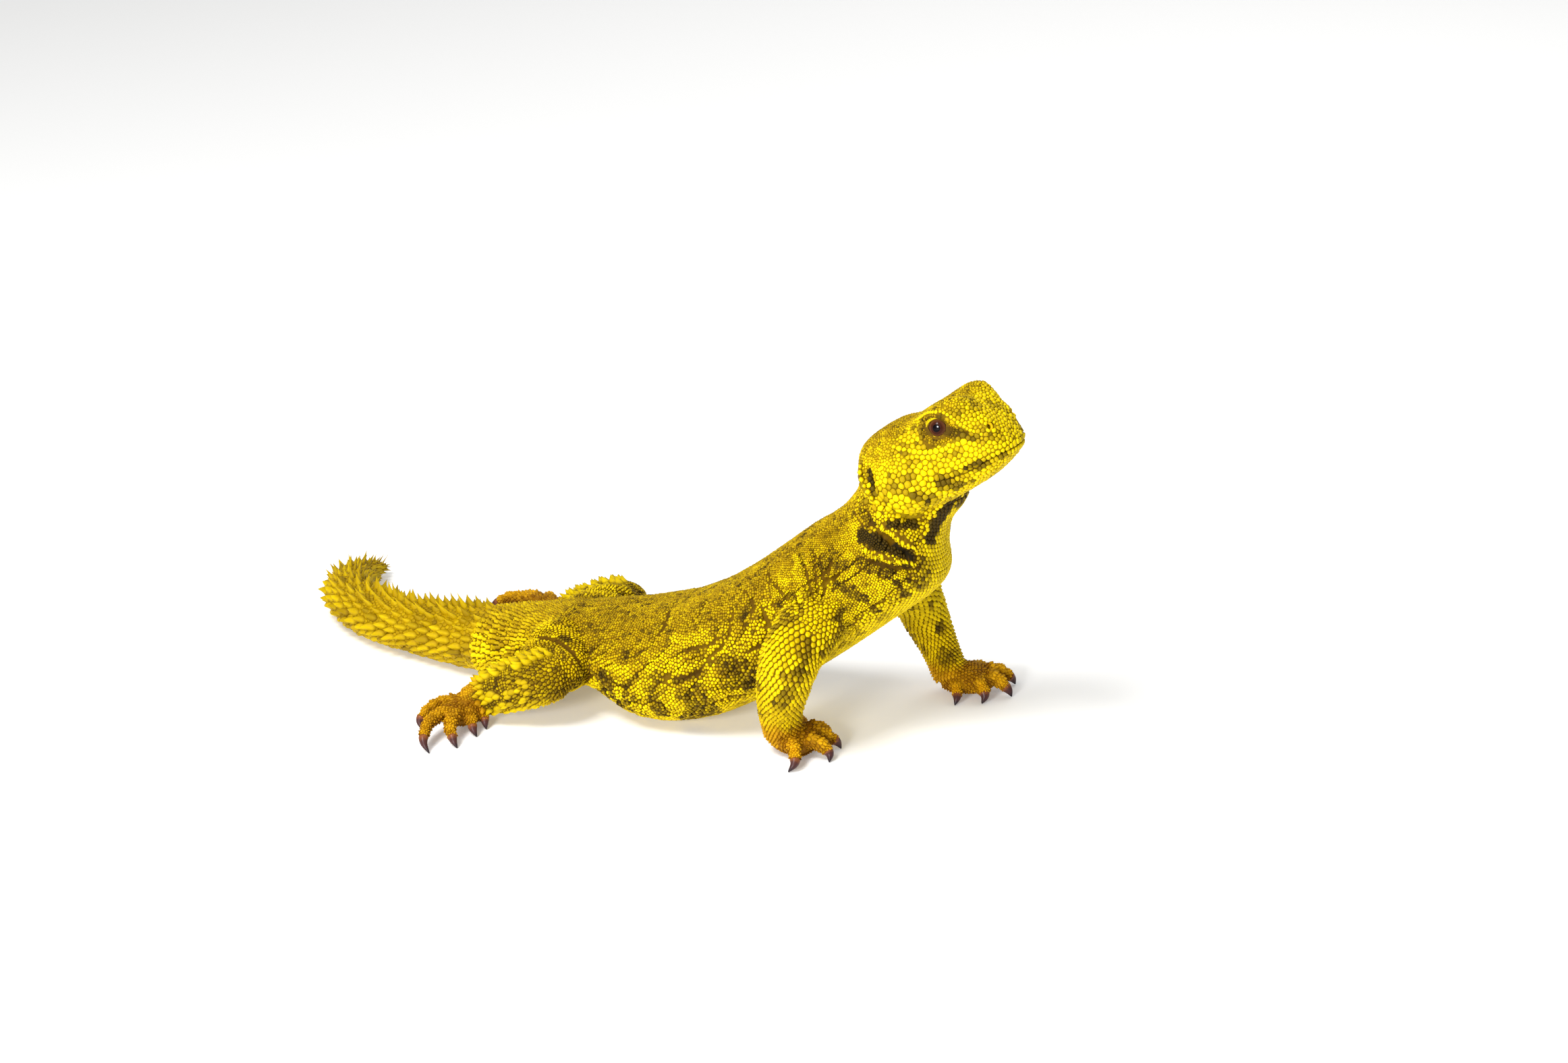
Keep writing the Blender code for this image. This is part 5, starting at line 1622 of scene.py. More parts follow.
            lean = shape.lean * high * grown * tall
            at = slice(level * sides, (level + 1) * sides)
            corners[:, at] = (roots.places[:, None, :] + ways * reach[:, :, None]
                              + normals[:, None, :] * height[:, :, None]
                              + (roots.lie * lean[:, None])[:, None, :])
            # The first number of form is how high up the scale each corner lies; the finish paints shade at the foot
            # and light on top by it.
            form[:, at, 0] = shape.floor + (1.0 - shape.floor) * np.clip(0.9 * high, 0.0, 1.0) * grown
            form[:, at, 2] = tipped * (0.4 * max(high, 0.0) + 0.6 * ridge * grown)
            patch[:, at] = np.stack([cos, sin], axis=1) * wide
        top = tall * (shape.peak + shape.keel)
        corners[:, -1] = roots.places + normals * top[:, None] + roots.lie * (shape.lean * shape.peak * tall)[:, None]
        corners[:, :, 2] = np.maximum(corners[:, :, 2], self.floor_gap)
        form[:, -1, 0] = 1.0
        form[:, -1, 2] = tipped[:, 0]
        form[:, :, 1] = tone[:, None]
        marks = np.repeat(self.paints(roots, shape, self.spots[chosen]), whole, axis=0)
        corner_list, lengths = self.faces(count, sides, levels)
        data = bpy.data.meshes.new(name)
        data.vertices.add(count * whole)
        data.loops.add(len(corner_list))
        data.polygons.add(len(lengths))
        data.vertices.foreach_set("co", (corners * MM).ravel())
        data.polygons.foreach_set("loop_start", np.concatenate([[0], np.cumsum(lengths)[:-1]]).astype(np.int32))
        data.loops.foreach_set("vertex_index", corner_list.astype(np.int32))
        data.update(calc_edges=True)
        piece = bpy.data.objects.new(name, data)
        bpy.context.scene.collection.objects.link(piece)
        finish_piece(piece, self.paint, marks=marks, form=form)
        unwrapped = self.unwrap(chosen)[:, None, :] + patch * self.patch_size
        layer = data.uv_layers.new(name="OFBake")
        layer.data.foreach_set("uv", unwrapped.reshape(-1, 2)[corner_list].astype(np.float32).ravel())
        self.made.append(piece)
        LOG.info("%s: %d scales, %d triangles", name, count, int((lengths - 2).sum()))

    def paints(self, roots: Roots, shape: ScaleShape, spots: Array) -> Array:
        """Dark, bright and rust of each scale, with some scales unlike their neighbours."""
        paints = self.markings.paint(roots.places, spots)
        count, glow = len(paints), np.clip(roots.glow, 0.0, 1.0)
        edge = np.clip(paints[:, 0] * (1.0 - paints[:, 0]) * 4.0, 0.0, 1.0)
        paints[:, 0] += self.draw.uniform(-0.24, 0.24, count) * edge
        paints[:, 0] += shape.vary * (self.draw.uniform(0.0, 1.0, count) > 0.72)
        paints[:, 0] = np.clip(paints[:, 0], 0.0, 1.0) * (1.0 - glow)
        paints[:, 1] = np.maximum(paints[:, 1], glow)
        return paints

    @staticmethod
    def faces(count: int, sides: int, levels: int) -> tuple[Array, Array]:
        """The corners of the faces of this many scales, one after another, and how many each face has."""
        whole = levels * sides + 1
        base = (np.arange(count) * whole)[:, None]
        ring = np.arange(sides)
        onward = (ring + 1) % sides
        quads = [np.stack([ring, onward, sides + onward, sides + ring], axis=1) + level * sides
                 for level in range(levels - 1)]
        quads = (base[:, :, None] + np.concatenate(quads)[None]).reshape(-1)
        last = (levels - 1) * sides
        tops = np.stack([last + ring, last + onward, np.full(sides, whole - 1)], axis=1)
        tops = (base[:, :, None] + tops[None]).reshape(-1)
        soles = (base + ring[::-1][None]).reshape(-1)
        lengths = np.concatenate([np.full(len(quads) // 4, 4), np.full(len(tops) // 3, 3), np.full(count, sides)])
        return np.concatenate([quads, tops, soles]), lengths

    def build(self, limit: int = 190000) -> None:
        """Mesh all the scales, by kind and in pieces that stay small enough."""
        self.gather()
        self.spread()
        parts = self.skin.atlas.part(self.spots)
        for number, kind in enumerate(Kind):
            chosen = np.flatnonzero(self.roots.kind == number)
            if not len(chosen):
                continue
            shape = kind.value
            each = shape.sides * 2 * len(shape.rings) - 2
            chosen = chosen[np.argsort(parts[chosen] * 1000.0 + self.roots.places[chosen, 0], kind="stable")]
            pieces = math.ceil(len(chosen) * each / limit)
            for k, some in enumerate(np.array_split(chosen, pieces)):
                self.mesh(f"scales_{kind.name.lower()}_{k + 1}", some)


@dataclass
class HeadScales:
    """Sows the head: rows along lips, brows and lids, and scales of many sizes between them."""

    skin: Skin
    draw: Draw
    rounds: int = 16

    def pitch(self, local: Array) -> Array:
        """How far apart scales are at places of the head's own frame."""
        x, y, z = local[:, 0], np.abs(local[:, 1]), local[:, 2]
        cheek = np.full(len(local), 1.45) + 0.35 * smooth_step(-2.0, -8.0, x) * smooth_step(-4.0, -9.0, z)
        crown = smooth_step(1.5, 3.8, z)
        temple = smooth_step(-9.0, -15.0, x) * smooth_step(-7.0, -1.0, z)
        muzzle = smooth_step(4.0, 9.0, x)
        round_eye = 1.0 - smooth_step(3.6, 6.0, np.linalg.norm(np.stack([x, y, z], axis=1) - EYE_AT, axis=1))
        pitch = cheek * (1 - crown) + 0.74 * crown
        pitch = pitch * (1 - 0.42 * temple * (1 - crown))
        pitch = pitch * (1 - muzzle) + (1.2 - 0.3 * crown) * muzzle
        pitch = pitch * (1 - round_eye) + 0.8 * round_eye
        under = smooth_step(-14.5, -17.5, z)
        return pitch * (1 - under) + 1.25 * under

    def rows(self) -> list:
        """The rows of larger scales along lips, brows, lids and ears."""
        ahead, left, _ = head_axes()
        upper_lip = [(x, y, z + 0.85) for x, y, z in MOUTH_LINE]
        lower_lip = [(x - 0.2, y, z - 0.95) for x, y, z in MOUTH_LINE]
        under_eye = ((-14.2, 10.7, 1.2), (-9.8, 11.2, -1.3), (-6.1, 11.6, -3.1), (-1.9, 11.1, -4.7), (1.7, 10, -5.1),
                     (5.2, 8.7, -5.5))
        brow = ((-7.5, 7.4, 5.6), (-1.1, 9.1, 5.1), (3.3, 9.2, 3.0), (6.0, 8.6, -0.8), (8.4, 8.0, -4.4))
        ear = ((-25.0, 11.6, 1.0), (-25.8, 12.4, -3.0), (-25.6, 13.2, -6.5), (-25.0, 13.0, -9.5))
        made = []
        for side in (1, -1):
            for line, pitch, tall, glow in ((upper_lip, 1.35, 0.45, 0.0), (lower_lip, 1.3, 0.42, 0.0),
                                            (under_eye, 1.5, 0.34, 0.8), (brow, 0.95, 0.3, 0.8)):
                made.append(Row(head_line(line, side), pitch, tall, Kind.PLATE, tuple(ahead * -1.0), glow))
            made.append(Row(head_line(ear, side), 1.9, 1.3, Kind.POINT, tuple(ahead * 0.6 + left * side * 0.6), 1.0))
        return [row.roots(self.draw) for row in made]

    def lids(self) -> list:
        """Rows of small scales round each eye, outside its lids' rims."""
        made = []
        for eye in EYES:
            for span, pitch in ((1.36, 0.6), (1.6, 0.68), (1.9, 0.78)):
                wide, tall = EYE_RADIUS * span * EYE_WIDE, EYE_RADIUS * span * EYE_TALL
                count = int(math.pi * (wide + tall) / pitch)
                turn = 2 * np.pi * np.arange(count) / count
                local = np.stack([np.full(count, EYE_RADIUS * 0.75), np.cos(turn) * wide, np.sin(turn) * tall], axis=1)
                places = eye.centre + local @ eye.axes
                away = unit((local * (0.0, 1.0, 1.0)) @ eye.axes)
                made.append(Roots.alike(places, -away, pitch * 0.5, 0.26, Kind.GRANULE))
        return made

    def between(self, fixed: Roots) -> Roots:
        """Scales spread evenly over what the rows leave free, each kept its own distance from the rest."""
        atlas, skin = self.skin.atlas, self.skin
        head = atlas.part(atlas.find(skin.places)) == Part.HEAD
        places = skin.places[head]
        area = np.zeros(len(skin.places))
        for face in skin.made.data.polygons:
            for corner in face.vertices:
                area[corner] += face.area / len(face.vertices)
        pitch = self.pitch(to_head(places))
        weight = area[head] / MM**2 / (0.866 * pitch**2)
        for row_place, row_size in zip(fixed.places, fixed.size):
            weight[np.linalg.norm(places - row_place, axis=1) < row_size * 1.5] = 0.0
        for eye in EYES:
            weight[eye.near(places, 2.0) & (eye.reach(places) < 1.4)] = 0.0
        count = int(weight.sum())
        picks = self.draw.choice(len(places), count, replace=False, p=weight / weight.sum())
        loose = places[picks] + self.draw.normal(0.0, 0.1, (count, 3))
        for _ in range(self.rounds):
            size = self.pitch(to_head(loose)) * 0.5
            every = np.vstack([loose, fixed.places])
            sizes = np.concatenate([size, fixed.size])
            tree = search_tree(every)
            near = np.array([[hit[1] for hit in tree.find_n(place, 8)][1:] for place in loose])
            away = loose[:, None, :] - every[near]
            gap = np.linalg.norm(away, axis=2, keepdims=True) + 1e-6
            want = (sizes[near] + size[:, None])[:, :, None] * 1.08
            push = (away / gap * np.maximum(want - gap, 0.0)).sum(axis=1) * 0.42
            loose, _ = nearest(skin.tree, loose + push)
        local = to_head(loose)
        size = self.pitch(local) * 0.5 * self.draw.uniform(0.7, 1.28, count)
        lie = np.tile(-head_axes()[0], (count, 1))
        fine = size < 0.47
        number = np.where(fine, list(Kind).index(Kind.GRANULE), list(Kind).index(Kind.PLATE))
        tall = np.where(fine, 0.3, 0.4 * (size / 0.7) ** 0.6)
        return Roots(loose, lie, size, tall, number, np.zeros(count))


@dataclass(frozen=True)
class TailSpines:
    """Whorls of spines round the tail: thorns above, long keeled leaves along the sides, flat scales below."""

    first: float = 1.5
    pitch: tuple = (4.1, 2.7)
    thorn_tall: tuple = (3.3, 2.3)
    leaf_tall: tuple = (1.05, 0.95)
    counts: tuple = (26, 21, 13)

    def roots(self, form: Form, draw: Draw) -> Roots:
        """The spines' roots on the tail's form."""
        total = form.travelled()[-1]
        made = []
        along, whorl = self.first, 0
        while along < total - 1.2:
            share = along / total
            pitch = float(np.interp(share, (0, 1), self.pitch))
            count = int(round(np.interp(share, (0, 0.16, 1), self.counts)))
            grown = min(1.0, 0.4 + along / 14)
            turns = 90 + 360.0 * (np.arange(count) + 0.5 * (whorl % 2)) / count
            turns = turns + draw.normal(0.0, 1.6, count)
            stops = np.clip(along + draw.normal(0.0, 0.18, count), 0.0, total)
            places = form.at(stops, turns)
            lies = unit(form.at(np.minimum(stops + 0.5, total), turns) - form.at(np.maximum(stops - 0.5, 0), turns))
            wide = form.girth(along) / count * 0.5
            up = np.sin(np.radians(turns))
            for kind, low, high in ((Kind.THORN, 0.55, 1.1), (Kind.LEAF, -1.1, 0.55)):
                chosen = (up >= low) & (up < high)
                tall = np.interp(share, (0, 1), self.thorn_tall if kind is Kind.THORN else self.leaf_tall)
                some = Roots.alike(places[chosen], lies[chosen], 1.0, tall, kind)
                some.size = np.full(chosen.sum(), wide * 1.02) * draw.uniform(0.92, 1.1, chosen.sum())
                under = smooth_step(-0.2, -0.8, up[chosen])
                some.tall = some.tall * grown * (1 - 0.4 * under) * draw.uniform(0.8, 1.2, chosen.sum())
                if kind is Kind.THORN:
                    some.tall *= np.where((np.arange(chosen.sum()) + whorl) % 2, 0.5, 1.0)
                else:
                    some.tall *= 1.0 + 0.9 * (1 - smooth_step(0.2, 0.5, np.abs(up[chosen] - 0.1)))
                made.append(some)
            along += pitch
            whorl += 1
        return Roots.joined(made)


@dataclass
class ScaleMap:
    """Says which scales grow where, and sows them in order, the largest first."""

    coat: Coat

    def form(self, name: str) -> Form:
        """The form of this name."""
        return next(form for form in self.coat.skin.forms if form.name == name)

    def zone(self, *sizes: object, reach: float = 1.0, room: float = 0.62, **more: object) -> None:
        """Sow one zone of these sizes."""
        zone = Zone(*sizes, **more)
        self.coat.sow(zone.roots(self.form(zone.form), self.coat.draw), reach, room)

    def head(self) -> None:
        """Sow the head."""
        scales = HeadScales(self.coat.skin, self.coat.draw)
        for roots in scales.rows() + scales.lids():
            self.coat.sow(roots, 2.6, 0.75)
        self.coat.sow(scales.between(Roots.joined(self.coat.groups)), 1.5, 0.55)

    def folds(self) -> None:
        """Sow the pointed yellow scales along the neck's folds."""
        draw = self.coat.draw
        for side in (1, -1):
            for fold, pitch in zip(BODY_WELTS, (1.05, 0.95)):
                line = np.array(fold.points) * (1, side, 1)
                jagged = Row(line, pitch, 1.2, Kind.POINT, (0.3, 0.0, -0.95), 0.85).roots(draw)
                jagged.places += draw.normal(0.0, 0.22, jagged.places.shape)
                jagged.size *= draw.uniform(0.9, 1.5, len(jagged.size))
                jagged.tall *= draw.uniform(0.4, 1.0, len(jagged.size))
                self.coat.sow(jagged, 2.8)

    def tail(self) -> None:
        """Sow the tail, its spines first and plates between them, and the kite-shaped scales of its root."""
        self.coat.sow(TailSpines().roots(self.form("tail"), self.coat.draw), 1.2, 0.3)
        self.zone("tail", Kind.PLATE, (1.5, 1.0), tall=0.3, reach=0.8, room=0.55)
        self.zone("body", Kind.KITE, (1.7, 1.35), UPPER, 0.75, (0.0, 0.07), flow=-1, jitter=0.15, reach=1.2, room=0.5)
        self.zone("body", Kind.KITE, (1.25, 0.95), UPPER, 0.5, (0.07, 0.15), flow=-1, jitter=0.15, reach=1.2, room=0.55)

    def forelegs(self) -> None:
        """Sow both forelegs with kite-shaped scales, smaller towards the hand."""
        for name in ("arm_right", "arm_left"):
            self.zone(name, Kind.KITE, (1.4, 1.4), OUTER, 0.45, (0.22, 0.33), jitter=0.14, count=34)
            self.zone(name, Kind.KITE, (1.9, 1.8), OUTER, 0.65, (0.34, 0.54), jitter=0.12, count=28)
            self.zone(name, Kind.KITE, (1.5, 1.15), OUTER, 0.5, (0.55, 1.0), jitter=0.14, count=28)

    def hindlegs(self) -> None:
        """Sow both hind legs with cones towards their rear and pointed scales between them."""
        for side, rear, middle in (("right", (40.0, 118.0), (150.0, 240.0)), ("left", (60.0, 170.0), (170.0, 240.0))):
            shank = f"shank_{side}"
            self.zone(shank, Kind.CONE, (2.6, 2.3), rear, 1.8, (0.16, 0.84), 1.1, 0.5, glow=0.6, reach=1.2)
            self.zone(shank, Kind.CONE, (2.1, 2.1), (118.0, 235.0), 1.2, (0.78, 0.88), 1.0, 0.5, glow=0.5, reach=1.2)
            self.zone(shank, Kind.POINT, (2.2, 2.6), middle, 0.75, (0.36, 0.78), 1.0, 0.5, glow=0.45, reach=1.2,
                      room=0.55)
            self.zone(shank, Kind.KITE, (1.15, 1.35), (118.0, 250.0), 0.5, (0.0, 0.5), jitter=0.2, glow=0.12,
                      reach=1.2, room=0.5)
            self.zone(shank, Kind.GRANULE, (0.85, 0.85), UPPER, 0.34, jitter=0.2, room=0.56)
            self.zone(f"thigh_{side}", Kind.KITE, (1.05, 1.05), UPPER, 0.45, jitter=0.16)

    def hips(self) -> None:
        """Sow the yellow cones beside the tail's root and over the hips."""
        cones = np.array([(-47.2, -9.1, 16.1), (-40.8, -11, 16.7), (-47.7, -10.5, 13.9), (-43.5, -11.2, 15.3),
                          (-38, -13.8, 12.3), (-35.7, -13.9, 14.2), (-44.5, -11.6, 11.5), (-40.0, -12.6, 9.5),
                          (-49.5, -8.0, 18.0), (-52.0, -6.0, 18.6)])
        for side in (1, -1):
            places = cones * (1, side, 1)
            lie = np.tile((-0.9, -0.35 * side, 0.1), (len(places), 1))
            self.coat.sow(Roots.alike(places, lie, 1.25, 2.3, Kind.CONE, 1.0), 3.0)

    def feet(self) -> None:
        """Sow palms and toes with rounded scales."""
        for name, (_, digits) in FEET.items():
            for digit in digits:
                self.zone(f"{name}_{digit.name}", Kind.KITE, (1.25, 1.0), tall=0.34, lengths=(0.2, 0.97), count=11)
            self.zone(name, Kind.KITE, (0.95, 0.9), tall=0.35)

    def trunk(self) -> None:
        """Sow trunk and neck: fine granules above, larger ones on the flanks, flat squares below."""
        for turns in ((120.0, 212.0), (-32.0, 60.0)):
            self.zone("body", Kind.GRANULE, (0.72, 0.72), turns, 0.3, (0.62, 0.84), flow=-1, jitter=0.24, reach=2.8)
        for pitch, turns, tall, jitter in (((0.84, 0.86), (25.0, 155.0), 0.34, 0.34),
                                           ((1.0, 1.05), (155.0, 222.0), 0.42, 0.24),
                                           ((1.0, 1.05), (-42.0, 25.0), 0.42, 0.24)):
            self.zone("body", Kind.GRANULE, pitch, turns, tall, flow=-1, jitter=jitter, reach=2.8)
        self.zone("body", Kind.SQUARE, (1.3, 1.25), (222.0, 318.0), 0.4, flow=-1, jitter=0.08)
        for name in ("arm_right", "arm_left"):
            self.zone(name, Kind.GRANULE, (0.8, 0.9), OUTER, 0.32, (0.0, 0.35), jitter=0.2, reach=3.0, room=0.6)
        for name in ("thigh_right", "thigh_left"):
            self.zone(name, Kind.GRANULE, (0.85, 0.85), UPPER, 0.32, jitter=0.2, reach=2.5, room=0.6)

    def sow(self) -> None:
        """Sow the whole animal."""
        self.head()
        self.folds()
        self.tail()
        self.hips()
        self.forelegs()
        self.hindlegs()
        self.feet()
        self.trunk()


class Shade:
    """A value or colour inside a material, with the arithmetic that patterns are written in."""

    def __init__(self, nodes: "Nodes", socket: bpy.types.NodeSocket) -> None:
        """Wrap a node's output."""
        self.nodes = nodes
        self.socket = socket

    def join(self, operation: str, first: object, second: object) -> "Shade":
        """Join two values by a Math node of this operation."""
        made = self.nodes.node("ShaderNodeMath", {"operation": operation}, {0: first, 1: second})
        return Shade(self.nodes, made.outputs[0])

    def __add__(self, other: object) -> "Shade":
        """This plus other."""
        return self.join("ADD", self, other)

    def __sub__(self, other: object) -> "Shade":
        """This less other."""
        return self.join("SUBTRACT", self, other)

    def __rsub__(self, other: object) -> "Shade":
        """Other less this."""
        return self.join("SUBTRACT", other, self)

    def __mul__(self, other: object) -> "Shade":
        """This times other."""
        return self.join("MULTIPLY", self, other)

    __radd__ = __add__
    __rmul__ = __mul__

    def __pow__(self, other: object) -> "Shade":
        """This to the power of other."""
        return self.join("POWER", self, other)

    def held(self) -> "Shade":
        """This, kept between 0 and 1."""
        made = self.nodes.node("ShaderNodeClamp", {}, {"Value": self})
        return Shade(self.nodes, made.outputs[0])

    def step(self, low: float, high: float) -> "Shade":
        """A soft step from 0 where this is low to 1 where it is high."""
        made = self.nodes.node("ShaderNodeMapRange", {"interpolation_type": "SMOOTHSTEP"},
                               {"Value": self, "From Min": low, "From Max": high})
        return Shade(self.nodes, made.outputs[0])


class Nodes:
    """Builds one material's nodes."""

    def __init__(self, name: str) -> None:
        """Start a material of this name."""
        self.material = bpy.data.materials.new(name)
        self.material.use_nodes = True
        self.tree = self.material.node_tree
        self.shader = self.tree.nodes["Principled BSDF"]

    def feed(self, socket: bpy.types.NodeSocket, value: object) -> None:
        """Set a socket to a number, vector or colour, or link a shade or socket to it."""
        if isinstance(value, Shade):
            value = value.socket
        if isinstance(value, bpy.types.NodeSocket):
            self.tree.links.new(value, socket)
        elif isinstance(value, tuple) and len(value) == 3 and socket.type == "RGBA":
            socket.default_value = (*value, 1.0)
        else:
            socket.default_value = value

    def node(self, kind: str, settings: dict, inputs: dict) -> bpy.types.Node:
        """Add a node.

        Args:
            kind: its type.
            settings: its own settings, set first.
            inputs: the values or links of its sockets, by name or number.

        Returns:
            The node.
        """
        made = self.tree.nodes.new(kind)
        for name, value in settings.items():
            setattr(made, name, value)
        for name, value in inputs.items():
            self.feed(made.inputs[name], value)
        return made

    def mix(self, factor: object, first: object, second: object) -> Shade:
        """A colour between two, by a factor from 0 to 1."""
        made = self.node("ShaderNodeMix", {"data_type": "RGBA"}, {0: factor, 6: first, 7: second})
        return Shade(self, made.outputs[2])

    def parts(self, name: str) -> tuple[Shade, Shade, Shade]:
        """The three numbers that a mesh keeps under this name."""
        kept = self.node("ShaderNodeAttribute", {"attribute_name": name}, {})
        made = self.node("ShaderNodeSeparateXYZ", {}, {0: kept.outputs["Vector"]})
        return tuple(Shade(self, made.outputs[i]) for i in range(3))

    def noise(self, size: float, detail: float = 2.0) -> Shade:
        """Noise from 0 to 1 with grains of about this size in millimetres."""
        place = self.node("ShaderNodeTexCoord", {}, {})
        made = self.node("ShaderNodeTexNoise", {}, {"Vector": place.outputs["Object"], "Scale": 1.0 / (size * MM),
                                                    "Detail": detail})
        return Shade(self, made.outputs[0])

    def bump(self, height: Shade, strength: float, depth: float) -> None:
        """Roughen the surface by a height of this depth in millimetres."""
        made = self.node("ShaderNodeBump", {}, {"Height": height, "Strength": strength, "Distance": depth * MM})
        self.feed(self.shader.inputs["Normal"], made.outputs[0])

    def set(self, **values: object) -> None:
        """Feed the shader's sockets, named with low lines for spaces."""
        for name, value in values.items():
            self.feed(self.shader.inputs[name.replace("_", " ")], value)


@dataclass(frozen=True)
class ScalyFinish:
    """Yellow scales with brown gaps, dark markings and rusty hands and feet; painted shade at each scale's foot,
    painted light on its top.
    """

    yellow: tuple = (0.90, 0.665, 0.0)
    ochre: tuple = (0.43, 0.265, 0.0)
    gap: tuple = (0.135, 0.066, 0.0)
    brown: tuple = (0.095, 0.046, 0.001)
    black: tuple = (0.017, 0.011, 0.003)
    rust: tuple = (0.70, 0.37, 0.003)
    rust_deep: tuple = (0.16, 0.048, 0.0)

    def make(self, name: str) -> Paint:
        """Make the material."""
        nodes = Nodes(name)
        dark, bright, rust = nodes.parts("marks")
        rise, tone, tip = nodes.parts("form")
        grain = nodes.noise(0.35)
        level = (bright + (tone - 0.5) * 0.34 + (grain - 0.5) * 0.3).held()
        base = nodes.mix(level, self.ochre, self.yellow)
        base = nodes.mix(tip, base, self.yellow)
        # lift is how high up its scale a point lies: the gap colour at the foot is partly the bare skin's own brown,
        # partly painted shade, and full colour on top is painted light.
        lift = rise.step(0.04, 0.5)
        coat = nodes.mix(lift, self.gap, base)
        deep = (dark * 2.0 - 1.0).held()
        # Dark markings stay a little lighter on the scales' tops: painted light.
        browned = (dark * 2.0).held() * (1.0 - 0.34 * lift * (1.0 - deep))
        coat = nodes.mix(browned, coat, nodes.mix(lift * 0.35, self.brown, self.ochre))
        coat = nodes.mix(deep * (1.0 - 0.2 * lift), coat, self.black)
        # Hands and feet are lighter on the scales' tops: painted light.
        orange = nodes.mix((bright * 0.72 + lift * 0.3 + (tone - 0.5) * 0.35).held(), self.rust_deep, self.rust)
        coat = nodes.mix(rust, coat, orange)
        nodes.set(Base_Color=coat, Roughness=0.55 + 0.2 * (1.0 - lift), Specular_IOR_Level=0.09)
        nodes.bump(nodes.noise(0.16, 3.0), 0.35, 0.05)
        return nodes.material


@dataclass(frozen=True)
class EyeFinish:
    """A dark brown eye: black pupil, reddish iris with a lighter edge, under a thin gloss that thickens at a painted
    highlight spot.
    """

    pupil: tuple = (0.004, 0.003, 0.004)
    iris: tuple = (0.045, 0.012, 0.006)
    edge: tuple = (0.11, 0.04, 0.015)
    white: tuple = (0.03, 0.014, 0.005)
    pupil_radius: float = 1.0
    iris_radius: float = 2.0

    def make(self, name: str) -> Paint:
        """Make the material."""
        nodes = Nodes(name)
        _, ahead, up = nodes.parts("gaze")
        away = (ahead * ahead + up * up) ** 0.5
        streak = nodes.noise(0.25)
        ring = away.step(self.pupil_radius + 0.35, self.iris_radius) * (0.6 + 0.8 * streak)
        iris = nodes.mix(ring.held(), self.iris, self.edge)
        colour = nodes.mix(away.step(self.pupil_radius - 0.08, self.pupil_radius + 0.08), self.pupil, iris)
        colour = nodes.mix(away.step(self.iris_radius, self.iris_radius + 0.25), colour, self.white)
        # The gloss is thick only round the spot where the front lamp's reflection falls, and thin elsewhere: a painted
        # highlight spot.
        glint = ((ahead - 0.47) * (ahead - 0.47) + (up - 0.49) * (up - 0.49)) ** 0.5
        glint_gloss = 0.12 + 0.88 * (1.0 - glint.step(0.45, 0.85))
        nodes.set(Base_Color=colour, Roughness=0.5, Coat_Weight=glint_gloss, Specular_IOR_Level=0.0)
        nodes.shader.inputs["Coat Roughness"].default_value = 0.03
        return nodes.material


@dataclass(frozen=True)
class HornFinish:
    """Dark purplish-brown horn, rustier at its root, with fine lengthwise streaks."""

    root: tuple = (0.24, 0.075, 0.02)
    horn: tuple = (0.07, 0.024, 0.022)
    tip: tuple = (0.02, 0.012, 0.016)

    def make(self, name: str) -> Paint:
        """Make the material."""
        nodes = Nodes(name)
        along, _, _ = nodes.parts("form")
        streak = nodes.noise(0.4)
        shade = (along + (streak - 0.5) * 0.3).held()
        colour = nodes.mix(shade.step(0.05, 0.4), self.root, self.horn)
        colour = nodes.mix(shade.step(0.45, 0.95), colour, self.tip)
        nodes.set(Base_Color=colour, Roughness=0.36, Specular_IOR_Level=0.25)
        nodes.bump(streak, 0.3, 0.06)
        return nodes.material


# How light the bare skin is between the scales, by part of the body: partly its own brown, partly painted shade in the
# gaps
BARE_RISE = np.array([0.1, 0.2, 0.42, 0.12, 0.06, 0.03, 0.3, 0.35])


@dataclass(frozen=True)
class Eyeball:
    """One eyeball, a little fuller at its front, behind its opening."""

    place: EyePlace
    name: str
    bulge: float = 0.28

    def build(self, paint: Paint) -> Piece:
        """Make the eyeball in this finish."""
        made = primitive(self.name, bpy.ops.mesh.primitive_uv_sphere_add, segments=64, ring_count=40,
                         radius=EYE_RADIUS * MM)
        local = vertex_places(made)[:, (2, 0, 1)]
        away = np.hypot(local[:, 1], local[:, 2])
        front = np.where(local[:, 0] > 0, 1.0 - smooth_step(0.6, 2.3, away), 0.0)
        local = local * (1.0 + (self.bulge / EYE_RADIUS) * front)[:, None]
        place_vertices(made, self.place.centre + local @ self.place.axes)
        return face_outwards(finish_piece(made, paint, gaze=local))


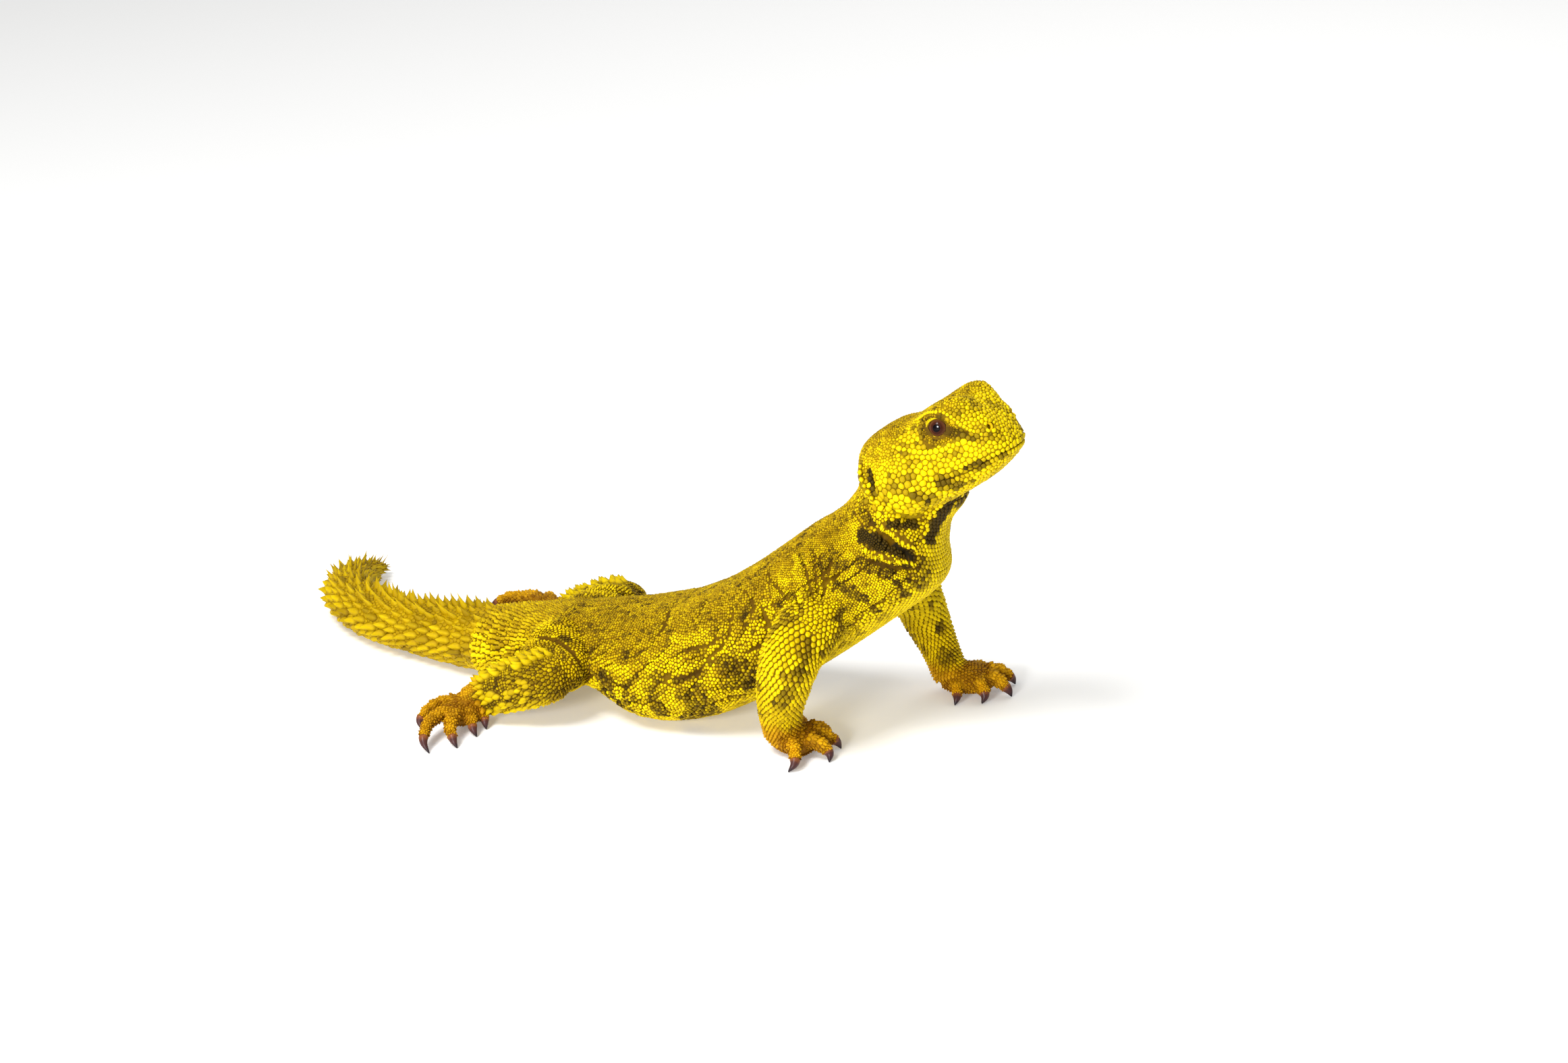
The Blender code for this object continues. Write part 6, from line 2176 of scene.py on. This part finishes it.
@dataclass(frozen=True)
class Lid:
    """The rounded rim of the lids round one eye, with its row of beads."""

    place: EyePlace
    name: str
    span: float = 1.06
    half_width: float = 0.24
    half_height: float = 0.3
    lift: float = 0.12
    beads_round: int = 40

    def build(self, paint: Paint) -> Piece:
        """Make the rim in this finish."""
        made = primitive(self.name, bpy.ops.mesh.primitive_torus_add, major_segments=72, minor_segments=14,
                         major_radius=1.0, minor_radius=0.25)
        flat = vertex_places(made) * MM
        around = np.arctan2(flat[:, 1], flat[:, 0])
        across = np.arctan2(flat[:, 2], np.hypot(flat[:, 0], flat[:, 1]) - 1.0)
        middle = self.place.rim(around, self.span, EYE_RADIUS + self.lift)
        out = unit(middle - self.place.centre)
        side = unit(self.place.rim(around, self.span + 0.1, EYE_RADIUS) - self.place.centre)
        side = unit(side - out)
        upper = 0.5 + 0.5 * np.sin(around)
        wide = self.half_width * (1.0 + 0.25 * upper) * (1.0 + 0.06 * np.sin(around * 23))
        tall = self.half_height * (1.0 + 0.2 * upper)
        places = middle + side * (np.cos(across) * wide)[:, None] + out * (np.sin(across) * tall)[:, None]
        place_vertices(made, places)
        # Darker at the rim's foot and lighter on its crest: the rim's own yellow, with painted shade at its foot.
        crest = np.clip(np.sin(across), 0, 1)
        marks = np.stack([0.6 * (1 - crest), 0.2 + 0.45 * crest, np.zeros(len(crest))], axis=1)
        return face_outwards(finish_piece(made, paint, marks=marks, form=looks(0.25 + 0.75 * crest, 0.6)))

    def beads(self, draw: Draw) -> Roots:
        """The roots of the beads along the rim."""
        count = self.beads_round
        turn = 2 * np.pi * (np.arange(count) + 0.5) / count
        places = self.place.rim(turn, self.span + 0.12, EYE_RADIUS + self.lift + self.half_height * 0.85)
        made = Roots.alike(places, np.tile(-head_axes()[0], (count, 1)), 0.2, 0.16, Kind.GRANULE, 2.0)
        made.size = made.size * draw.uniform(0.85, 1.15, count)
        return made


@dataclass(frozen=True)
class Nostril:
    """The round rim of one nostril."""

    side: int
    name: str
    radius: float = 0.95
    thick: float = 0.36
    lift: float = 0.22

    def build(self, skin: Skin, paint: Paint) -> Piece:
        """Make the rim on the skin in this finish."""
        centre = nearest(skin.tree, [from_head(on_side(NOSTRIL_AT, self.side))])[0][0]
        near = np.linalg.norm(skin.places - centre, axis=1) < 2.2
        out = unit(skin.normals[near].mean(axis=0))
        ahead = unit(np.cross(out, head_axes()[1]))
        side = np.cross(out, ahead)
        made = primitive(self.name, bpy.ops.mesh.primitive_torus_add, major_segments=40, minor_segments=12,
                         major_radius=self.radius, minor_radius=self.thick)
        flat = vertex_places(made) * MM
        places = centre + flat[:, :1] * ahead * 1.1 + flat[:, 1:2] * side + flat[:, 2:] * out + out * self.lift
        place_vertices(made, places)
        # The rim is painted darker towards its foot: painted shade.
        crest = np.clip(flat[:, 2] / self.thick, 0, 1)
        marks = np.tile((0.0, 0.75, 0.55), (len(flat), 1))
        return face_outwards(finish_piece(made, paint, marks=marks, form=looks(0.2 + 0.8 * crest, 0.5)))


@dataclass(frozen=True)
class Claw:
    """One curved claw at the end of a toe."""

    digit: Digit
    name: str
    root: float = 0.8
    tip: float = 0.95
    sharp: float = 0.14
    steps: int = 6

    def build(self, paint: Paint) -> Piece:
        """Make the claw in this finish."""
        half, joints = self.digit.half_width, self.digit.joints
        _, middle, tip = claw_bend(self.digit)
        knots = [Knot(*joint, half, half) for joint in joints]
        knots += [Knot(*middle, half * CLAW_SLIM, half * CLAW_SLIM), Knot(*tip, self.sharp, self.sharp)]
        rings = path_form(self.name, Part.TOE, knots, 0.0, self.steps, 14).rings[self.steps * (len(joints) - 1) + 2 :]
        share = np.linspace(0.0, 1.0, len(rings))
        middles = rings.mean(axis=1, keepdims=True)
        slim = (self.root * (1 - share) + self.tip * share)[:, None, None]
        made = tube(self.name, middles + (rings - middles) * slim)
        closest = np.argmin(np.linalg.norm(vertex_places(made)[:, None] - middles[None, :, 0], axis=2), axis=1)
        return finish_piece(made, paint, form=looks(share[closest], 0.0))


def ride(made: Piece) -> None:
    """Fix a piece to the body."""
    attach(made, BODY)


def main() -> None:
    """Build the whole animal on its frame."""
    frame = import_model()
    names = list(frame["nodes"])
    scaly = ScalyFinish().make("scaly_skin")
    eye_paint = EyeFinish().make("eye")
    horn = HornFinish().make("claw_horn")
    draw = np.random.default_rng(SEED)

    skin = Skin()
    skin.build()
    spots = skin.atlas.find(skin.places)
    markings = Markings(skin)
    rise = BARE_RISE[skin.atlas.part(spots)]
    finish_piece(skin.made, scaly, marks=markings.paint(skin.places, spots), form=looks(rise, 0.5))
    ride(skin.made)
    flesh = [name for name in names if not name.startswith(("claw", "eye"))]
    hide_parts(*flesh)
    LOG.info("skin: %d vertices", len(skin.places))

    coat = Coat(skin, markings, scaly, draw)
    for place, side in ((EYES[0], "right"), (EYES[1], "left")):
        ball = Eyeball(place, f"eyeball_{side}").build(eye_paint)
        ride(ball)
        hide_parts(f"eye_{side}")
        lid = Lid(place, f"lid_{side}")
        ride(lid.build(scaly))
        coat.sow(lid.beads(draw), settled=True)
        ride(Nostril(place.side, f"nostril_{side}").build(skin, scaly))
        LOG.info("eye, lid and nostril: %s", side)
    for foot, (_, digits) in FEET.items():
        for digit in digits:
            claw = Claw(digit, f"horn_{foot}_{digit.name}").build(horn)
            ride(claw)
            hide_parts(f"claw_{foot}_{digit.name}")
    LOG.info("claws: %d", sum(len(digits) for _, digits in FEET.values()))
    ScaleMap(coat).sow()
    coat.build()
    for piece in coat.made:
        ride(piece)

    Studio().build()


if __name__ == "__main__":
    logging.basicConfig(level=logging.INFO)
    main()
